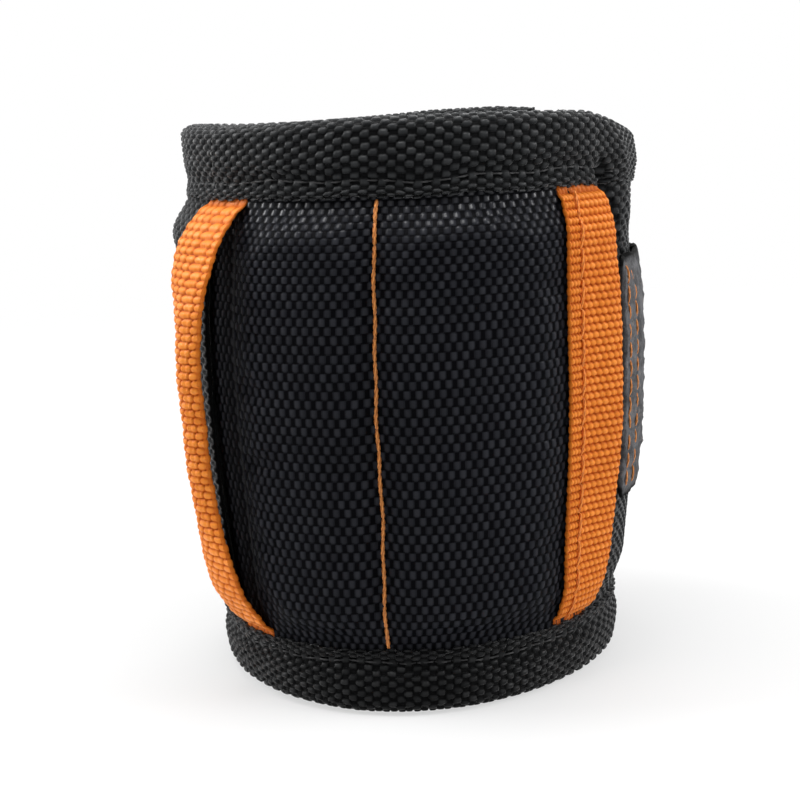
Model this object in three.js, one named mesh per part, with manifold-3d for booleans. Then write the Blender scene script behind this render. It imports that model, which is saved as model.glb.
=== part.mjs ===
// A magnetic wristband: a padded cuff of woven cloth that holds small steel things on the outside.
// Millimetres, +Z up. The band stands on its lower edge, closed as it is worn.
// The origin is on the ground, under the middle of the closed band, and the stitched front faces -Y.
// A place on the band is given by s, the way round from that stitch, positive towards +X,
// by z, its height, and by d, its distance outwards from the middle of the padding.
import * as THREE from "three";
import { mergeVertices } from "three/addons/utils/BufferGeometryUtils.js";
import Module from "manifold-3d";

const wasm = await Module();
wasm.setup();

// The cuff
const bandHeight = 90;
const bellyRadius = 35.2;
const footWidthShare = 0.84;
const footDepthShare = 1.02;
const rimWidthShare = 0.965;
const rimDepthShare = 0.88;
const rimSetBack = 1.6;
const rimLean = 1.6;
const bellyFromShare = 0.56;
const bellyToShare = 0.61;
const footCurveShare = 1.7;
const rimCurveShare = 1.5;

// The cloth, the padding and the fold lines
const clothThickness = 1.0;
const foamThickness = 3.0;
const layerGap = 0.3;
const seamGap = 0.3;
const pillowReach = 7;
const foamInset = 4.2;
const foldGap = 0.4;
const foldReach = 4;
const foldDip = 0.7;

// The edge bindings
const upperBindingHeight = 12;
const lowerBindingHeight = 10;
const endBindingWidth = 10;
const bindingCloth = 1.2;

// The front: two fields with a stitched channel between them, and a webbing beyond each
const leftFieldWidth = 22.2;
const rightFieldWidth = 28.6;
const foldMargin = 2;
const crownHeight = 1.3;
const channelDepth = 1.1;
const channelReach = 3.6;
const threadWidth = 0.8;
const threadHeight = 0.4;
const webbingWidth = 10;
const webbingThickness = 1.0;
const leftLoopStandoff = 5.8;
const leftLoopTwistShare = 0.78;
const loopBedDepth = 1.6;
const loopBedReach = 3;
const rightLoopStandoff = 2.0;
const rightLoopSewnWidth = 3;
const webbingStitchInset = 1.8;

// The magnets
const magnetDiameter = 10;
const magnetThickness = 2;
const magnetClearance = 0.3;
const magnetInset = 9;
const magnetEdge = 5;
const magnetsPerField = 5;
const wingFieldWidth = 25;

// The two wings and the closure
const rightWingLength = 43;
const closureGap = 6;
const strapWidth = 38.5;
const strapLowEdge = 28;
const strapThickness = 0.9;
const strapSetBack = 1.6;
const strapSewnLength = 24;
const strapFreeLength = 64;
const strapCornerRadius = 7;
const strapRampLength = 14;
const hookLength = 28;
const hookThickness = 0.8;
const hookInset = 1.5;
const loopFieldLength = 52;
const loopThickness = 0.8;
const loopFieldMargin = 2;
const strapStitchInset = 1.2;
const strapStitchSpacing = 3.4;

// Places along the band that follow from those sizes
const girth = 2 * Math.PI * bellyRadius;
const leftFold = -(leftFieldWidth + webbingWidth + foldMargin);
const rightFold = rightFieldWidth + webbingWidth + foldMargin;
const rightEnd = rightFold + rightWingLength;
const leftEnd = rightEnd + closureGap - girth;
const lowerSeam = lowerBindingHeight;
const upperSeam = bandHeight - upperBindingHeight;
const midHeight = (lowerSeam + upperSeam) / 2;
const magnetRoom = upperSeam - lowerSeam - 2 * magnetEdge - magnetDiameter;
const magnetPitch = magnetRoom / (magnetsPerField - 1);
const faceOffset = foamThickness / 2 + layerGap;
const clothFace = faceOffset + clothThickness;
const seamOffset = layerGap / 2;
const bindingInner = seamOffset + clothThickness + layerGap;
const bindingOuter = bindingInner + bindingCloth;
const hemDepth = bindingCloth + layerGap;
const strapStart = rightFold + strapSetBack;
const peelLine = strapStart + strapSewnLength;
const strapEnd = peelLine + strapFreeLength;
const loopLevel = clothFace + layerGap;
const hookLevel = loopLevel + loopThickness + layerGap;
const strapHighLevel = hookLevel + hookThickness + layerGap;
const hookEnd = strapEnd - hookInset;
const hookStart = hookEnd - hookLength;
const loopStart = rightEnd + closureGap + endBindingWidth + seamGap;
const strapHighEdge = strapLowEdge + strapWidth;

const clamp = (v) => Math.min(1, Math.max(0, v));
const rise = (v) => clamp(v) * clamp(v) * (3 - 2 * clamp(v));

// The level curve of the cuff at one height: an oval, narrow at the foot and set back at the rim.
function oval(z) {
  const low = Math.pow(Math.max(0, 1 - z / (bellyFromShare * bandHeight)), footCurveShare);
  const up = (z / bandHeight - bellyToShare) / (1 - bellyToShare);
  const high = Math.pow(Math.max(0, up), rimCurveShare);
  const even = 1 - low - high;
  return {
    halfWidth: bellyRadius * (even + footWidthShare * low + rimWidthShare * high),
    halfDepth: bellyRadius * (even + footDepthShare * low + rimDepthShare * high),
    shiftX: rimLean * high,
    shiftY: rimSetBack * high,
  };
}

// The point of the cuff at s, z and d.
function place(s, z, d) {
  const turn = s / bellyRadius;
  const o = oval(z);
  const outward = new THREE.Vector2(
    Math.sin(turn) / o.halfWidth,
    -Math.cos(turn) / o.halfDepth,
  ).normalize();
  return new THREE.Vector3(
    o.shiftX + o.halfWidth * Math.sin(turn) + d * outward.x,
    o.shiftY - o.halfDepth * Math.cos(turn) + d * outward.y,
    z,
  );
}

// Evenly spaced numbers from one value to another, both included.
function steps(from, to, count) {
  return Array.from({ length: count + 1 }, (_, i) => from + ((to - from) * i) / count);
}

// Sorted numbers without near twins.
function joined(...lists) {
  const all = lists.flat().sort((a, b) => a - b);
  return all.filter((v, i) => i === 0 || v - all[i - 1] > layerGap / 2);
}

// A smooth curve through a table of [share along, share of height].
function follow(shares, along) {
  let k = 0;
  while (k < shares.length - 2 && along > shares[k + 1][0]) k += 1;
  const [a0, v0] = shares[k];
  const [a1, v1] = shares[k + 1];
  const before = shares[Math.max(0, k - 1)];
  const after = shares[Math.min(shares.length - 1, k + 2)];
  const span = a1 - a0;
  const t = clamp((along - a0) / span);
  const m0 = k > 0 ? ((v1 - before[1]) / (a1 - before[0])) * span : v1 - v0;
  const m1 = k < shares.length - 2 ? ((after[1] - v0) / (after[0] - a0)) * span : v1 - v0;
  const t2 = t * t;
  const t3 = t2 * t;
  return (2 * t3 - 3 * t2 + 1) * v0 + (t3 - 2 * t2 + t) * m0 + (3 * t2 - 2 * t3) * v1 + (t3 - t2) * m1;
}

// A closed solid through outlines carried along the band. Each outline is a list of pairs,
// and at(pair, i) gives the point of the pair on ring i. The triangles close both ends.
function loft(outlines, at, triangles) {
  const count = outlines[0].length;
  const points = outlines.flatMap((outline, i) => outline.map((pair) => at(pair, i)));
  const index = [];
  for (let r = 0; r < outlines.length - 1; r += 1) {
    for (let i = 0; i < count; i += 1) {
      const a = r * count + i;
      const b = r * count + ((i + 1) % count);
      index.push(a, b, a + count, b, b + count, a + count);
    }
  }
  const last = (outlines.length - 1) * count;
  for (const [a, b, c] of triangles) {
    index.push(a, c, b);
    index.push(last + a, last + b, last + c);
  }
  return closed(points, index);
}

// The end of a flat bar, whose outline goes out along one face and back along the other.
function ladder(count) {
  const rungs = steps(0, count / 2 - 2, Math.max(1, count / 2 - 2)).slice(0, count / 2 - 1);
  return rungs.flatMap((i) => [
    [i, i + 1, count - 2 - i],
    [i, count - 2 - i, count - 1 - i],
  ]);
}

// The end of a folded bar.
function fillOf(outline) {
  const flat = outline.map(([u, v]) => new THREE.Vector2(u, v));
  const turned = THREE.ShapeUtils.area(flat) < 0;
  return THREE.ShapeUtils.triangulateShape(flat, []).map(([a, b, c]) => (turned ? [a, c, b] : [a, b, c]));
}

// A geometry from points and triangles, turned so that its faces look outwards.
function closed(points, index) {
  let volume = 0;
  for (let i = 0; i < index.length; i += 3) {
    const [a, b, c] = [points[index[i]], points[index[i + 1]], points[index[i + 2]]];
    volume += a.dot(new THREE.Vector3().crossVectors(b, c));
  }
  if (volume < 0) index.reverse();
  return new THREE.BufferGeometry().setFromPoints(points).setIndex(index);
}

// A bar whose outline in z and d is carried along s.
function alongBand(sList, outlineAt, ends = ladder(outlineAt(sList[0]).length)) {
  return loft(sList.map(outlineAt), ([z, d], i) => place(sList[i], z, d), ends);
}

// A bar whose outline in s and d is carried upwards along z.
function upBand(zList, outlineAt, ends = ladder(outlineAt(zList[0]).length)) {
  return loft(zList.map(outlineAt), ([s, d], i) => place(s, zList[i], d), ends);
}

// A layer of cloth or foam between two faces, given as d over s and z.
function layer(sList, zList, inner, outer) {
  const back = [...zList].reverse();
  return alongBand(sList, (s) => [
    ...zList.map((z) => [z, outer(s, z)]),
    ...back.map((z) => [z, inner(s, z)]),
  ]);
}

function toSolid(geometry) {
  const bare = geometry.clone();
  bare.deleteAttribute("normal");
  bare.deleteAttribute("uv");
  const merged = mergeVertices(bare);
  const mesh = new wasm.Mesh({
    numProp: 3,
    vertProperties: new Float32Array(merged.attributes.position.array),
    triVerts: new Uint32Array(merged.index.array),
  });
  return new wasm.Manifold(mesh);
}

function toGeometry(solid) {
  const mesh = solid.getMesh();
  return new THREE.BufferGeometry()
    .setAttribute("position", new THREE.BufferAttribute(mesh.vertProperties, 3))
    .setIndex(new THREE.BufferAttribute(mesh.triVerts, 1));
}

const cloth = (color, roughness) => new THREE.MeshStandardMaterial({ color, roughness, metalness: 0 });
const panelCloth = cloth(0x14151a, 0.55);
const bindingWeave = cloth(0x2b2d30, 0.8);
const orangeWebbing = cloth(0xec7a22, 0.7);
const orangeThread = cloth(0xd06a20, 0.7);
const foamGrey = cloth(0x3a3a3c, 0.95);
const meshLining = cloth(0x1b1c1e, 0.9);
const brushedCloth = cloth(0x554d4a, 0.95);
const loopCloth = cloth(0x222326, 0.95);
const nickel = new THREE.MeshStandardMaterial({ color: 0xb9bcc0, roughness: 0.3, metalness: 1 });

const band = new THREE.Group();
function add(group, name, geometry, material) {
  const mesh = new THREE.Mesh(geometry, material);
  mesh.name = name;
  group.add(mesh);
}

// Heights of the rows that every layer shares, so that the gaps between the layers hold.
const pillowShares = [0.25, 0.5, 1];
const fieldRows = 4;
const lowerPillow = pillowShares.map((share) => lowerSeam + share * pillowReach);
const upperPillow = pillowShares.map((share) => upperSeam - share * pillowReach).reverse();
const fieldRowHeights = steps(lowerSeam + pillowReach, upperSeam - pillowReach, fieldRows);
const clothRows = joined(
  [hemDepth, lowerSeam],
  lowerPillow,
  fieldRowHeights,
  upperPillow,
  [upperSeam, bandHeight - hemDepth],
);
const foamRows = joined(
  [lowerSeam + foamInset, upperSeam - foamInset],
  fieldRowHeights,
);

// How full the padding is: nothing at the seams, all of it in the field.
const fullUp = (z) => rise((z - lowerSeam) / pillowReach) * rise((upperSeam - z) / pillowReach);
const fullFromFold = (s, fold) => 1 - (foldDip / clothFace) * (1 - rise(Math.abs(s - fold) / foldReach));
const padded = (share) => seamOffset + (faceOffset - seamOffset) * share;

// The front: each field swells in a low crown, and the stitch draws the cloth into a channel.
function frontSwell(s, z) {
  const width = s < 0 ? leftFieldWidth : rightFieldWidth;
  const across = Math.sin(Math.PI * clamp(Math.abs(s) / width));
  const up = Math.sin(Math.PI * clamp((z - lowerSeam) / (upperSeam - lowerSeam)));
  const crown = crownHeight * across * Math.sqrt(up);
  const channel = channelDepth * (1 - rise(Math.abs(s) / channelReach)) * fullUp(z);
  const folds = fullFromFold(s, leftFold) * fullFromFold(s, rightFold);
  return padded(fullUp(z) * folds) + crown - channel;
}
// Beyond the left field the padding is drawn in, as a bed under the loop.
function frontFace(s, z) {
  const bed = rise((-leftFieldWidth - s) / loopBedReach) * rise((s - leftFold) / foldMargin);
  return frontSwell(s, z) - loopBedDepth * bed * fullUp(z);
}
const frontBack = (s, z) => padded(fullUp(z) * fullFromFold(s, leftFold) * fullFromFold(s, rightFold));

function columns(from, to, width) {
  return steps(from, to, Math.max(2, Math.round((to - from) / width)));
}
const columnWidth = 4.4;
const frontFrom = leftFold + foldGap / 2;
const frontTo = rightFold - foldGap / 2;
const channelColumns = [-channelReach, -channelReach / 2, 0, channelReach / 2, channelReach];
const bedEdge = -(leftFieldWidth + loopBedReach);
const frontColumns = joined(
  [frontFrom, leftFold + foldMargin],
  columns(leftFold + foldMargin, bedEdge, columnWidth),
  [bedEdge + loopBedReach / 2],
  columns(-leftFieldWidth, -channelReach, columnWidth),
  channelColumns,
  columns(channelReach, frontTo, columnWidth),
);

const outerCloth = (face) => [face, (s, z) => face(s, z) + clothThickness];
const innerCloth = (back) => [(s, z) => -back(s, z) - clothThickness, (s, z) => -back(s, z)];
const foamBetween = (face, back) => [
  (s, z) => -back(s, z) + layerGap,
  (s, z) => face(s, z) - layerGap,
];

// A round hole through the padding, square to the band, and the magnet that fills it.
function magnetFrame(s, z) {
  const reach = magnetDiameter / 2;
  const alongS = place(s + reach, z, 0).sub(place(s - reach, z, 0)).normalize();
  const alongZ = place(s, z + reach, 0).sub(place(s, z - reach, 0)).normalize();
  const out = new THREE.Vector3().crossVectors(alongS, alongZ).normalize();
  const up = new THREE.Vector3().crossVectors(out, alongS);
  return new THREE.Matrix4().makeBasis(alongS, out, up.negate()).setPosition(place(s, z, 0));
}
const roundSides = 16;
const throughFoam = 4 * foamThickness;
function disc(s, z, radius, height) {
  return new THREE.CylinderGeometry(radius, radius, height, roundSides).applyMatrix4(magnetFrame(s, z));
}
function pierced(foam, seats) {
  let solid = toSolid(foam);
  for (const [s, z] of seats) {
    const hole = disc(s, z, magnetDiameter / 2 + magnetClearance, throughFoam);
    solid = solid.subtract(toSolid(hole));
  }
  return toGeometry(solid);
}

// The magnets of a field stand in two rows, turn about, each near one side of the field.
function seatsIn(line, width) {
  const turns = steps(0, magnetsPerField - 1, magnetsPerField - 1);
  const sides = [magnetInset, Math.abs(width) - magnetDiameter / 2 - magnetClearance];
  return turns.map((i) => [
    line + Math.sign(width) * sides[i % 2],
    midHeight + (i - (magnetsPerField - 1) / 2) * magnetPitch,
  ]);
}
const frontSeats = [...seatsIn(0, -leftFieldWidth), ...seatsIn(0, rightFieldWidth)];
const wingSeats = seatsIn(leftFold, -wingFieldWidth);

const front = new THREE.Group();
band.add(front);
const foamFrom = frontFrom + foamInset / 2;
const foamTo = frontTo - foamInset / 2;
const foamColumns = joined([foamFrom], frontColumns.filter((s) => s > foamFrom && s < foamTo), [foamTo]);
add(front, "front_panel", layer(frontColumns, clothRows, ...outerCloth(frontFace)), panelCloth);
add(front, "front_lining", layer(frontColumns, clothRows, ...innerCloth(frontBack)), meshLining);
const frontFoam = layer(foamColumns, foamRows, ...foamBetween(frontFace, frontBack));
add(front, "front_foam", pierced(frontFoam, frontSeats), foamGrey);

let magnetNumber = 0;
function addMagnets(group, seats) {
  for (const [s, z] of seats) {
    magnetNumber += 1;
    const name = "magnet_" + String(magnetNumber).padStart(2, "0");
    add(group, name, disc(s, z, magnetDiameter / 2, magnetThickness), nickel);
  }
}
addMagnets(front, frontSeats);

// A binding wraps an edge of the band: a tape folded over it, round at the fold.
// Each row is a share of the binding's height from the fold and a share of its half thickness.
const bindingOutsideShares = [
  [0, 0.4],
  [0.07, 0.78],
  [0.28, 1],
  [0.7, 1],
  [1, 0.88],
];
function bindingOutline(height, sign, fold) {
  const outside = bindingOutsideShares.map(([up, out]) => [fold + sign * up * height, out * bindingOuter]);
  const edge = fold + sign * height;
  const floor = fold + sign * bindingCloth;
  const inside = [
    [edge, bindingInner],
    [floor + sign * layerGap, bindingInner],
    [floor, seamOffset + clothThickness],
  ];
  const right = [...outside, ...inside];
  const left = right.map(([z, d]) => [z, -d]).reverse();
  return [...right, ...left];
}
const lowerBinding = bindingOutline(lowerBindingHeight - seamGap, 1, 0);
const upperBinding = bindingOutline(upperBindingHeight - seamGap, -1, bandHeight);
function addBindings(group, name, sList) {
  const top = alongBand(sList, () => upperBinding, fillOf(upperBinding));
  const bottom = alongBand(sList, () => lowerBinding, fillOf(lowerBinding));
  add(group, name + "_top_binding", top, bindingWeave);
  add(group, name + "_bottom_binding", bottom, bindingWeave);
}
const bindingColumnWidth = 5.2;
addBindings(front, "front", columns(frontFrom, frontTo, bindingColumnWidth));

// The thread that draws the two fields together.
const seamRows = clothRows.filter((z) => z > lowerSeam && z < upperSeam);
const threadRows = joined([lowerSeam + seamGap], seamRows, [upperSeam - seamGap]);
const threadLevel = (z) => frontFace(0, z) + clothThickness + layerGap;
const centreThread = upBand(threadRows, (z) => [
  [-threadWidth / 2, threadLevel(z)],
  [threadWidth / 2, threadLevel(z)],
  [threadWidth / 2, threadLevel(z) + threadHeight],
  [-threadWidth / 2, threadLevel(z) + threadHeight],
]);
add(front, "centre_stitch", centreThread, orangeThread);

// The left webbing is a loop: only its two ends are held, and it stands off between them.
// Each row is a share of the way up between the bindings and a share of the standoff.
const leftLoopShares = [
  [0, 0],
  [0.05, 0.16],
  [0.14, 0.46],
  [0.3, 0.78],
  [0.5, 0.96],
  [0.7, 1],
  [0.83, 0.88],
  [0.93, 0.46],
  [1, 0],
];
const rightLoopShares = [
  [0, 0],
  [0.2, 0.6],
  [0.5, 1],
  [0.8, 0.7],
  [1, 0],
];
const webbingSides = 4;
const webbingRows = 18;
const webbingHeights = steps(lowerSeam + seamGap, upperSeam - seamGap, webbingRows);
const shareUp = (z) => (z - webbingHeights[0]) / (webbingHeights[webbingRows] - webbingHeights[0]);
function webbing(from, to, standoff) {
  const across = steps(from, to, webbingSides);
  return upBand(webbingHeights, (z) => {
    const level = (s) => frontSwell(s, z) + clothThickness + layerGap + standoff(s, z);
    const under = across.map((s) => [s, level(s)]);
    const over = across.map((s) => [s, level(s) + webbingThickness]).reverse();
    return [...under, ...over];
  });
}
const leftLoopFrom = -leftFieldWidth;
const leftLoopTo = -(leftFieldWidth + webbingWidth);
const leftStandoff = (s, z) => {
  const across = (s - leftLoopFrom) / (leftLoopTo - leftLoopFrom);
  const twist = 1 - (1 - leftLoopTwistShare) * across;
  return leftLoopStandoff * twist * follow(leftLoopShares, shareUp(z));
};
add(front, "left_webbing_loop", webbing(leftLoopFrom, leftLoopTo, leftStandoff), orangeWebbing);

// The right webbing is sewn down along the field and lifts at its outer edge.
const rightLoopTo = rightFieldWidth + webbingWidth;
const rightStandoff = (s, z) => {
  const free = rise((s - rightFieldWidth - rightLoopSewnWidth) / (webbingWidth - rightLoopSewnWidth));
  return rightLoopStandoff * free * follow(rightLoopShares, shareUp(z));
};
add(front, "right_webbing_loop", webbing(rightFieldWidth, rightLoopTo, rightStandoff), orangeWebbing);
const webbingStitchAt = rightFieldWidth + webbingStitchInset;
const webbingStitch = upBand(webbingHeights, (z) => {
  const level = frontSwell(webbingStitchAt, z) + clothThickness + webbingThickness + 2 * layerGap;
  const [a, b] = [webbingStitchAt - threadWidth / 2, webbingStitchAt + threadWidth / 2];
  return [
    [a, level],
    [b, level],
    [b, level + threadHeight],
    [a, level + threadHeight],
  ];
});
add(front, "right_webbing_stitch", webbingStitch, orangeThread);

// A wing goes on round the wrist from a fold line to its bound end.
function wingFace(fold, end) {
  const bound = end - Math.sign(end - fold) * endBindingWidth;
  return (s, z) => {
    const full = rise((Math.sign(end - fold) * (bound - s)) / pillowReach);
    return padded(fullUp(z) * fullFromFold(s, fold) * full);
  };
}
function addWing(group, name, fold, end, seats) {
  const sign = Math.sign(end - fold);
  const start = fold + (sign * foldGap) / 2;
  const bound = end - sign * endBindingWidth;
  const tip = end - sign * hemDepth;
  const face = wingFace(fold, end);
  const pillowColumns = pillowShares.map((share) => bound - sign * share * pillowReach);
  const reach = [start, pillowColumns[2]].sort((a, b) => a - b);
  const field = columns(reach[0], reach[1], columnWidth);
  const all = joined(field, pillowColumns, [bound, (bound + tip) / 2, tip]);
  add(group, name + "_panel", layer(all, clothRows, ...outerCloth(face)), bindingWeave);
  add(group, name + "_lining", layer(all, clothRows, ...innerCloth(face)), meshLining);
  const foamStart = start + (sign * foamInset) / 2;
  const foamEnd = bound - sign * foamInset;
  const low = Math.min(foamStart, foamEnd);
  const high = Math.max(foamStart, foamEnd);
  const inField = field.filter((s) => s > low && s < high);
  const foam = layer(joined([low], inField, [high]), foamRows, ...foamBetween(face, face));
  add(group, name + "_foam", seats.length ? pierced(foam, seats) : foam, foamGrey);
  addMagnets(group, seats);
  addBindings(group, name, columns(Math.min(start, end), Math.max(start, end), bindingColumnWidth));
  const endOutline = bindingOutline(endBindingWidth - seamGap, -sign, end);
  const endBinding = upBand(threadRows, () => endOutline, fillOf(endOutline));
  add(group, name + "_end_binding", endBinding, bindingWeave);
  return face;
}

const leftWing = new THREE.Group();
band.add(leftWing);
const leftWingFace = addWing(leftWing, "left_wing", leftFold, leftEnd, wingSeats);
const rightWing = new THREE.Group();
band.add(rightWing);
const rightWingFace = addWing(rightWing, "right_wing", rightFold, rightEnd, []);

// The closure: a field of loops on the left wing, and a strap with hooks sewn to the right wing.
const strapColumnWidth = 4.4;
const loopLow = strapLowEdge - loopFieldMargin;
const loopHigh = strapHighEdge + loopFieldMargin;
const tapeRowCount = 4;
const tapeRows = (low, high) => steps(low, high, tapeRowCount);
function tape(sList, lowEdge, highEdge, level, thickness) {
  return alongBand(sList, (s) => {
    const heights = tapeRows(lowEdge(s), highEdge(s));
    const under = heights.map((z) => [z, level(s, z)]);
    const over = heights.map((z) => [z, level(s, z) + thickness]).reverse();
    return [...under, ...over];
  });
}
const loopEnd = Math.min(loopStart + loopFieldLength, girth + leftFold - foldReach);
const loopField = tape(
  columns(loopStart, loopEnd, strapColumnWidth),
  () => loopLow,
  () => loopHigh,
  () => loopLevel,
  loopThickness,
);
add(leftWing, "loop_field", loopField, loopCloth);

const strapBase = tape(
  columns(strapStart, peelLine - foldGap / 2, strapColumnWidth),
  () => strapLowEdge,
  () => strapHighEdge,
  () => loopLevel,
  strapThickness,
);
add(rightWing, "strap_base", strapBase, brushedCloth);

// Three rows of thread hold the strap down: two near its start and one before the free part.
const stitchLevel = loopLevel + strapThickness + layerGap;
const stitchLow = strapLowEdge + strapStitchInset;
const stitchHigh = strapHighEdge - strapStitchInset;
const stitchRows = [
  strapStart + strapStitchInset,
  strapStart + strapStitchInset + strapStitchSpacing,
  peelLine - strapStitchInset - threadWidth,
];
stitchRows.forEach((from, i) => {
  const row = upBand(tapeRows(stitchLow, stitchHigh), () => [
    [from, stitchLevel],
    [from + threadWidth, stitchLevel],
    [from + threadWidth, stitchLevel + threadHeight],
    [from, stitchLevel + threadHeight],
  ]);
  add(rightWing, "strap_stitch_" + (i + 1), row, orangeThread);
});

// The free strap rises over the wing's end to lie on the hooks, and ends in round corners.
const strap = new THREE.Group();
rightWing.add(strap);
const cornerStart = strapEnd - strapCornerRadius;
const strapLevel = (s) => {
  const up = rise((s - rightEnd) / strapRampLength);
  return loopLevel + (strapHighLevel - loopLevel) * up;
};
const cornerCut = (s) => {
  const past = Math.max(0, s - cornerStart);
  return strapCornerRadius - Math.sqrt(Math.max(0, strapCornerRadius ** 2 - past ** 2));
};
const cornerShares = [0.4, 0.7, 0.9, 0.985];
const strapColumns = joined(
  columns(peelLine + foldGap / 2, cornerStart, strapColumnWidth),
  cornerShares.map((share) => cornerStart + share * strapCornerRadius),
);
const freeStrap = tape(
  strapColumns,
  (s) => strapLowEdge + cornerCut(s),
  (s) => strapHighEdge - cornerCut(s),
  strapLevel,
  strapThickness,
);
add(strap, "strap", freeStrap, brushedCloth);

const hookLow = strapLowEdge + hookInset;
const hookHigh = strapHighEdge - hookInset;
const hookCut = (s) => cornerCut(Math.min(strapEnd, s + hookInset));
const hookColumns = joined(
  columns(hookStart, cornerStart - hookInset, strapColumnWidth),
  [cornerStart + hookInset, hookEnd - hookInset],
);
const hookPatch = tape(
  hookColumns,
  (s) => hookLow + hookCut(s),
  (s) => hookHigh - hookCut(s),
  () => hookLevel,
  hookThickness,
);
add(strap, "hook_patch", hookPatch, loopCloth);

// The band stands over the origin.
const middle = new THREE.Box3().setFromObject(band).getCenter(new THREE.Vector3());
band.position.set(-middle.x, -middle.y, 0);

export default band;
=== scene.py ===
# %% [markdown]
# # A magnetic wristband, woven in Blender
# The solids of the band are already made. This lesson dresses them: each cloth gets its own
# weave, so that the yarns can be seen and touched in the mesh, and not only in a picture.
# The frame is loaded first.

import math

import bpy
import numpy as np
from mathutils import Matrix, Vector


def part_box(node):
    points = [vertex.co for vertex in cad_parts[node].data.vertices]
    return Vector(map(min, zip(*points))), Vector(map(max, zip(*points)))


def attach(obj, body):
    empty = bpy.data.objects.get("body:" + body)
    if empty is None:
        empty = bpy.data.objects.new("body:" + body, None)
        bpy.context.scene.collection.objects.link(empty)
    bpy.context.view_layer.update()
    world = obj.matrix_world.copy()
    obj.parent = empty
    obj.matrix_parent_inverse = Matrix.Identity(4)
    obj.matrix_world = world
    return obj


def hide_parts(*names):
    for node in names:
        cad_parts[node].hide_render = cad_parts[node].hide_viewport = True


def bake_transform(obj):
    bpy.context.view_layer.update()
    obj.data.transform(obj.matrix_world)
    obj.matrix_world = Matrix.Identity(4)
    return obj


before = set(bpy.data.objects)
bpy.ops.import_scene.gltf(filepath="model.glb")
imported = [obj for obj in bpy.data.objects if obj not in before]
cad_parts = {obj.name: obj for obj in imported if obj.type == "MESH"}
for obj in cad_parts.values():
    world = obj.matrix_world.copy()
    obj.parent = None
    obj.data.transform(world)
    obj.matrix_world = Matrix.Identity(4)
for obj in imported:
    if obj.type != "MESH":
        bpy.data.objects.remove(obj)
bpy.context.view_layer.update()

# %% [markdown]
# ## The shape of the cuff
# A place on the band is given by s, the way round from the centre stitch, by z, its height,
# and by d, its distance outwards from the middle of the padding, all in millimetres.
# One function turns such a place into a point. It works on whole arrays at once, which is
# why a weave of a hundred thousand points takes a fraction of a second.

# %% Sizes of the cuff, in millimetres
MM = 0.001
HEIGHT = 90.0
BELLY = 35.2
FOOT_WIDTH, FOOT_DEPTH = 0.84, 1.02
RIM_WIDTH, RIM_DEPTH = 0.965, 0.88
RIM_BACK, RIM_LEAN = 1.6, 1.6
BELLY_FROM, BELLY_TO = 0.56, 0.61
FOOT_CURVE, RIM_CURVE = 1.7, 1.5
LOW_SEAM, HIGH_SEAM = 10.0, 78.0
LEFT_FIELD, RIGHT_FIELD = 22.2, 28.6
LEFT_FOLD, RIGHT_FOLD = -34.2, 40.6
GIRTH = 2 * math.pi * BELLY
RIGHT_END = 83.6
LEFT_END = 89.6 - GIRTH


def smooth(v):
    v = np.clip(v, 0.0, 1.0)
    return v * v * (3 - 2 * v)


def oval(z):
    low = np.power(np.maximum(0, 1 - z / (BELLY_FROM * HEIGHT)), FOOT_CURVE)
    high = np.power(np.maximum(0, (z / HEIGHT - BELLY_TO) / (1 - BELLY_TO)), RIM_CURVE)
    even = 1 - low - high
    wide = BELLY * (even + FOOT_WIDTH * low + RIM_WIDTH * high)
    deep = BELLY * (even + FOOT_DEPTH * low + RIM_DEPTH * high)
    return wide, deep, high


def unshifted(s, z, d):
    s, z, d = np.broadcast_arrays(*(np.asarray(v, float) for v in (s, z, d)))
    turn = s / BELLY
    wide, deep, high = oval(z)
    out_x, out_y = np.sin(turn) / wide, -np.cos(turn) / deep
    length = np.hypot(out_x, out_y)
    x = RIM_LEAN * high + wide * np.sin(turn) + d * out_x / length
    y = RIM_BACK * high - deep * np.cos(turn) + d * out_y / length
    return np.stack([x, y, z], -1)


MAGNET_INSET, MAGNET_LOW = 9.0, 20.0
seat_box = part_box("magnet_01")
SHIFT = np.array((seat_box[0] + seat_box[1]) / 2) / MM - unshifted(-MAGNET_INSET, MAGNET_LOW, 0)
SHIFT[2] = 0.0


def on_cuff(s, z, d):
    return unshifted(s, z, d) + SHIFT


# Each line is a soft bump: its middle s and z, its reach both ways, and how far it stands out.
BUMPS = [
    (-50.0, 90.0, 15.0, 6.0, 1.3),
    (-50.0, 73.0, 13.0, 4.2, 1.5),
    (54.0, 90.0, 12.0, 4.0, -0.8),
    (54.0, 78.0, 11.0, 4.5, 1.0),
    (54.0, 69.0, 12.0, 7.0, -1.0),
    (52.0, 4.0, 17.0, 10.0, 1.0),
]
# Each line is a crease: s and z of its upper and lower end, its width, and how far it stands out.
CREASES = [
    (40.4, 77.5, 48.1, 61.5, 1.5, -2.6),
    (44.4, 82.0, 50.5, 68.0, 2.6, 0.8),
]
# A crease begins this far below its lower end, and comes and goes over these heights.
CREASE_BELOW, CREASE_RISE, CREASE_FALL = 2.0, 13.0, 6.0


def pressed(s, z):
    """How far handling has pushed the soft band out, or in, at a place."""
    s, z = np.broadcast_arrays(np.asarray(s, float), np.asarray(z, float))
    out = np.zeros(s.shape)
    for at_s, at_z, reach_s, reach_z, most in BUMPS:
        out = out + most * np.exp(-(((s - at_s) / reach_s) ** 2) - ((z - at_z) / reach_z) ** 2)
    for top_s, top_z, low_s, low_z, width, most in CREASES:
        middle = top_s + (low_s - top_s) * (top_z - z) / (top_z - low_z)
        fade = smooth((z - low_z + CREASE_BELOW) / CREASE_RISE)
        fade = fade * smooth((top_z + CREASE_FALL - z) / CREASE_FALL)
        out = out + most * fade * np.exp(-(((s - middle) / width) ** 2))
    return out


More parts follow.
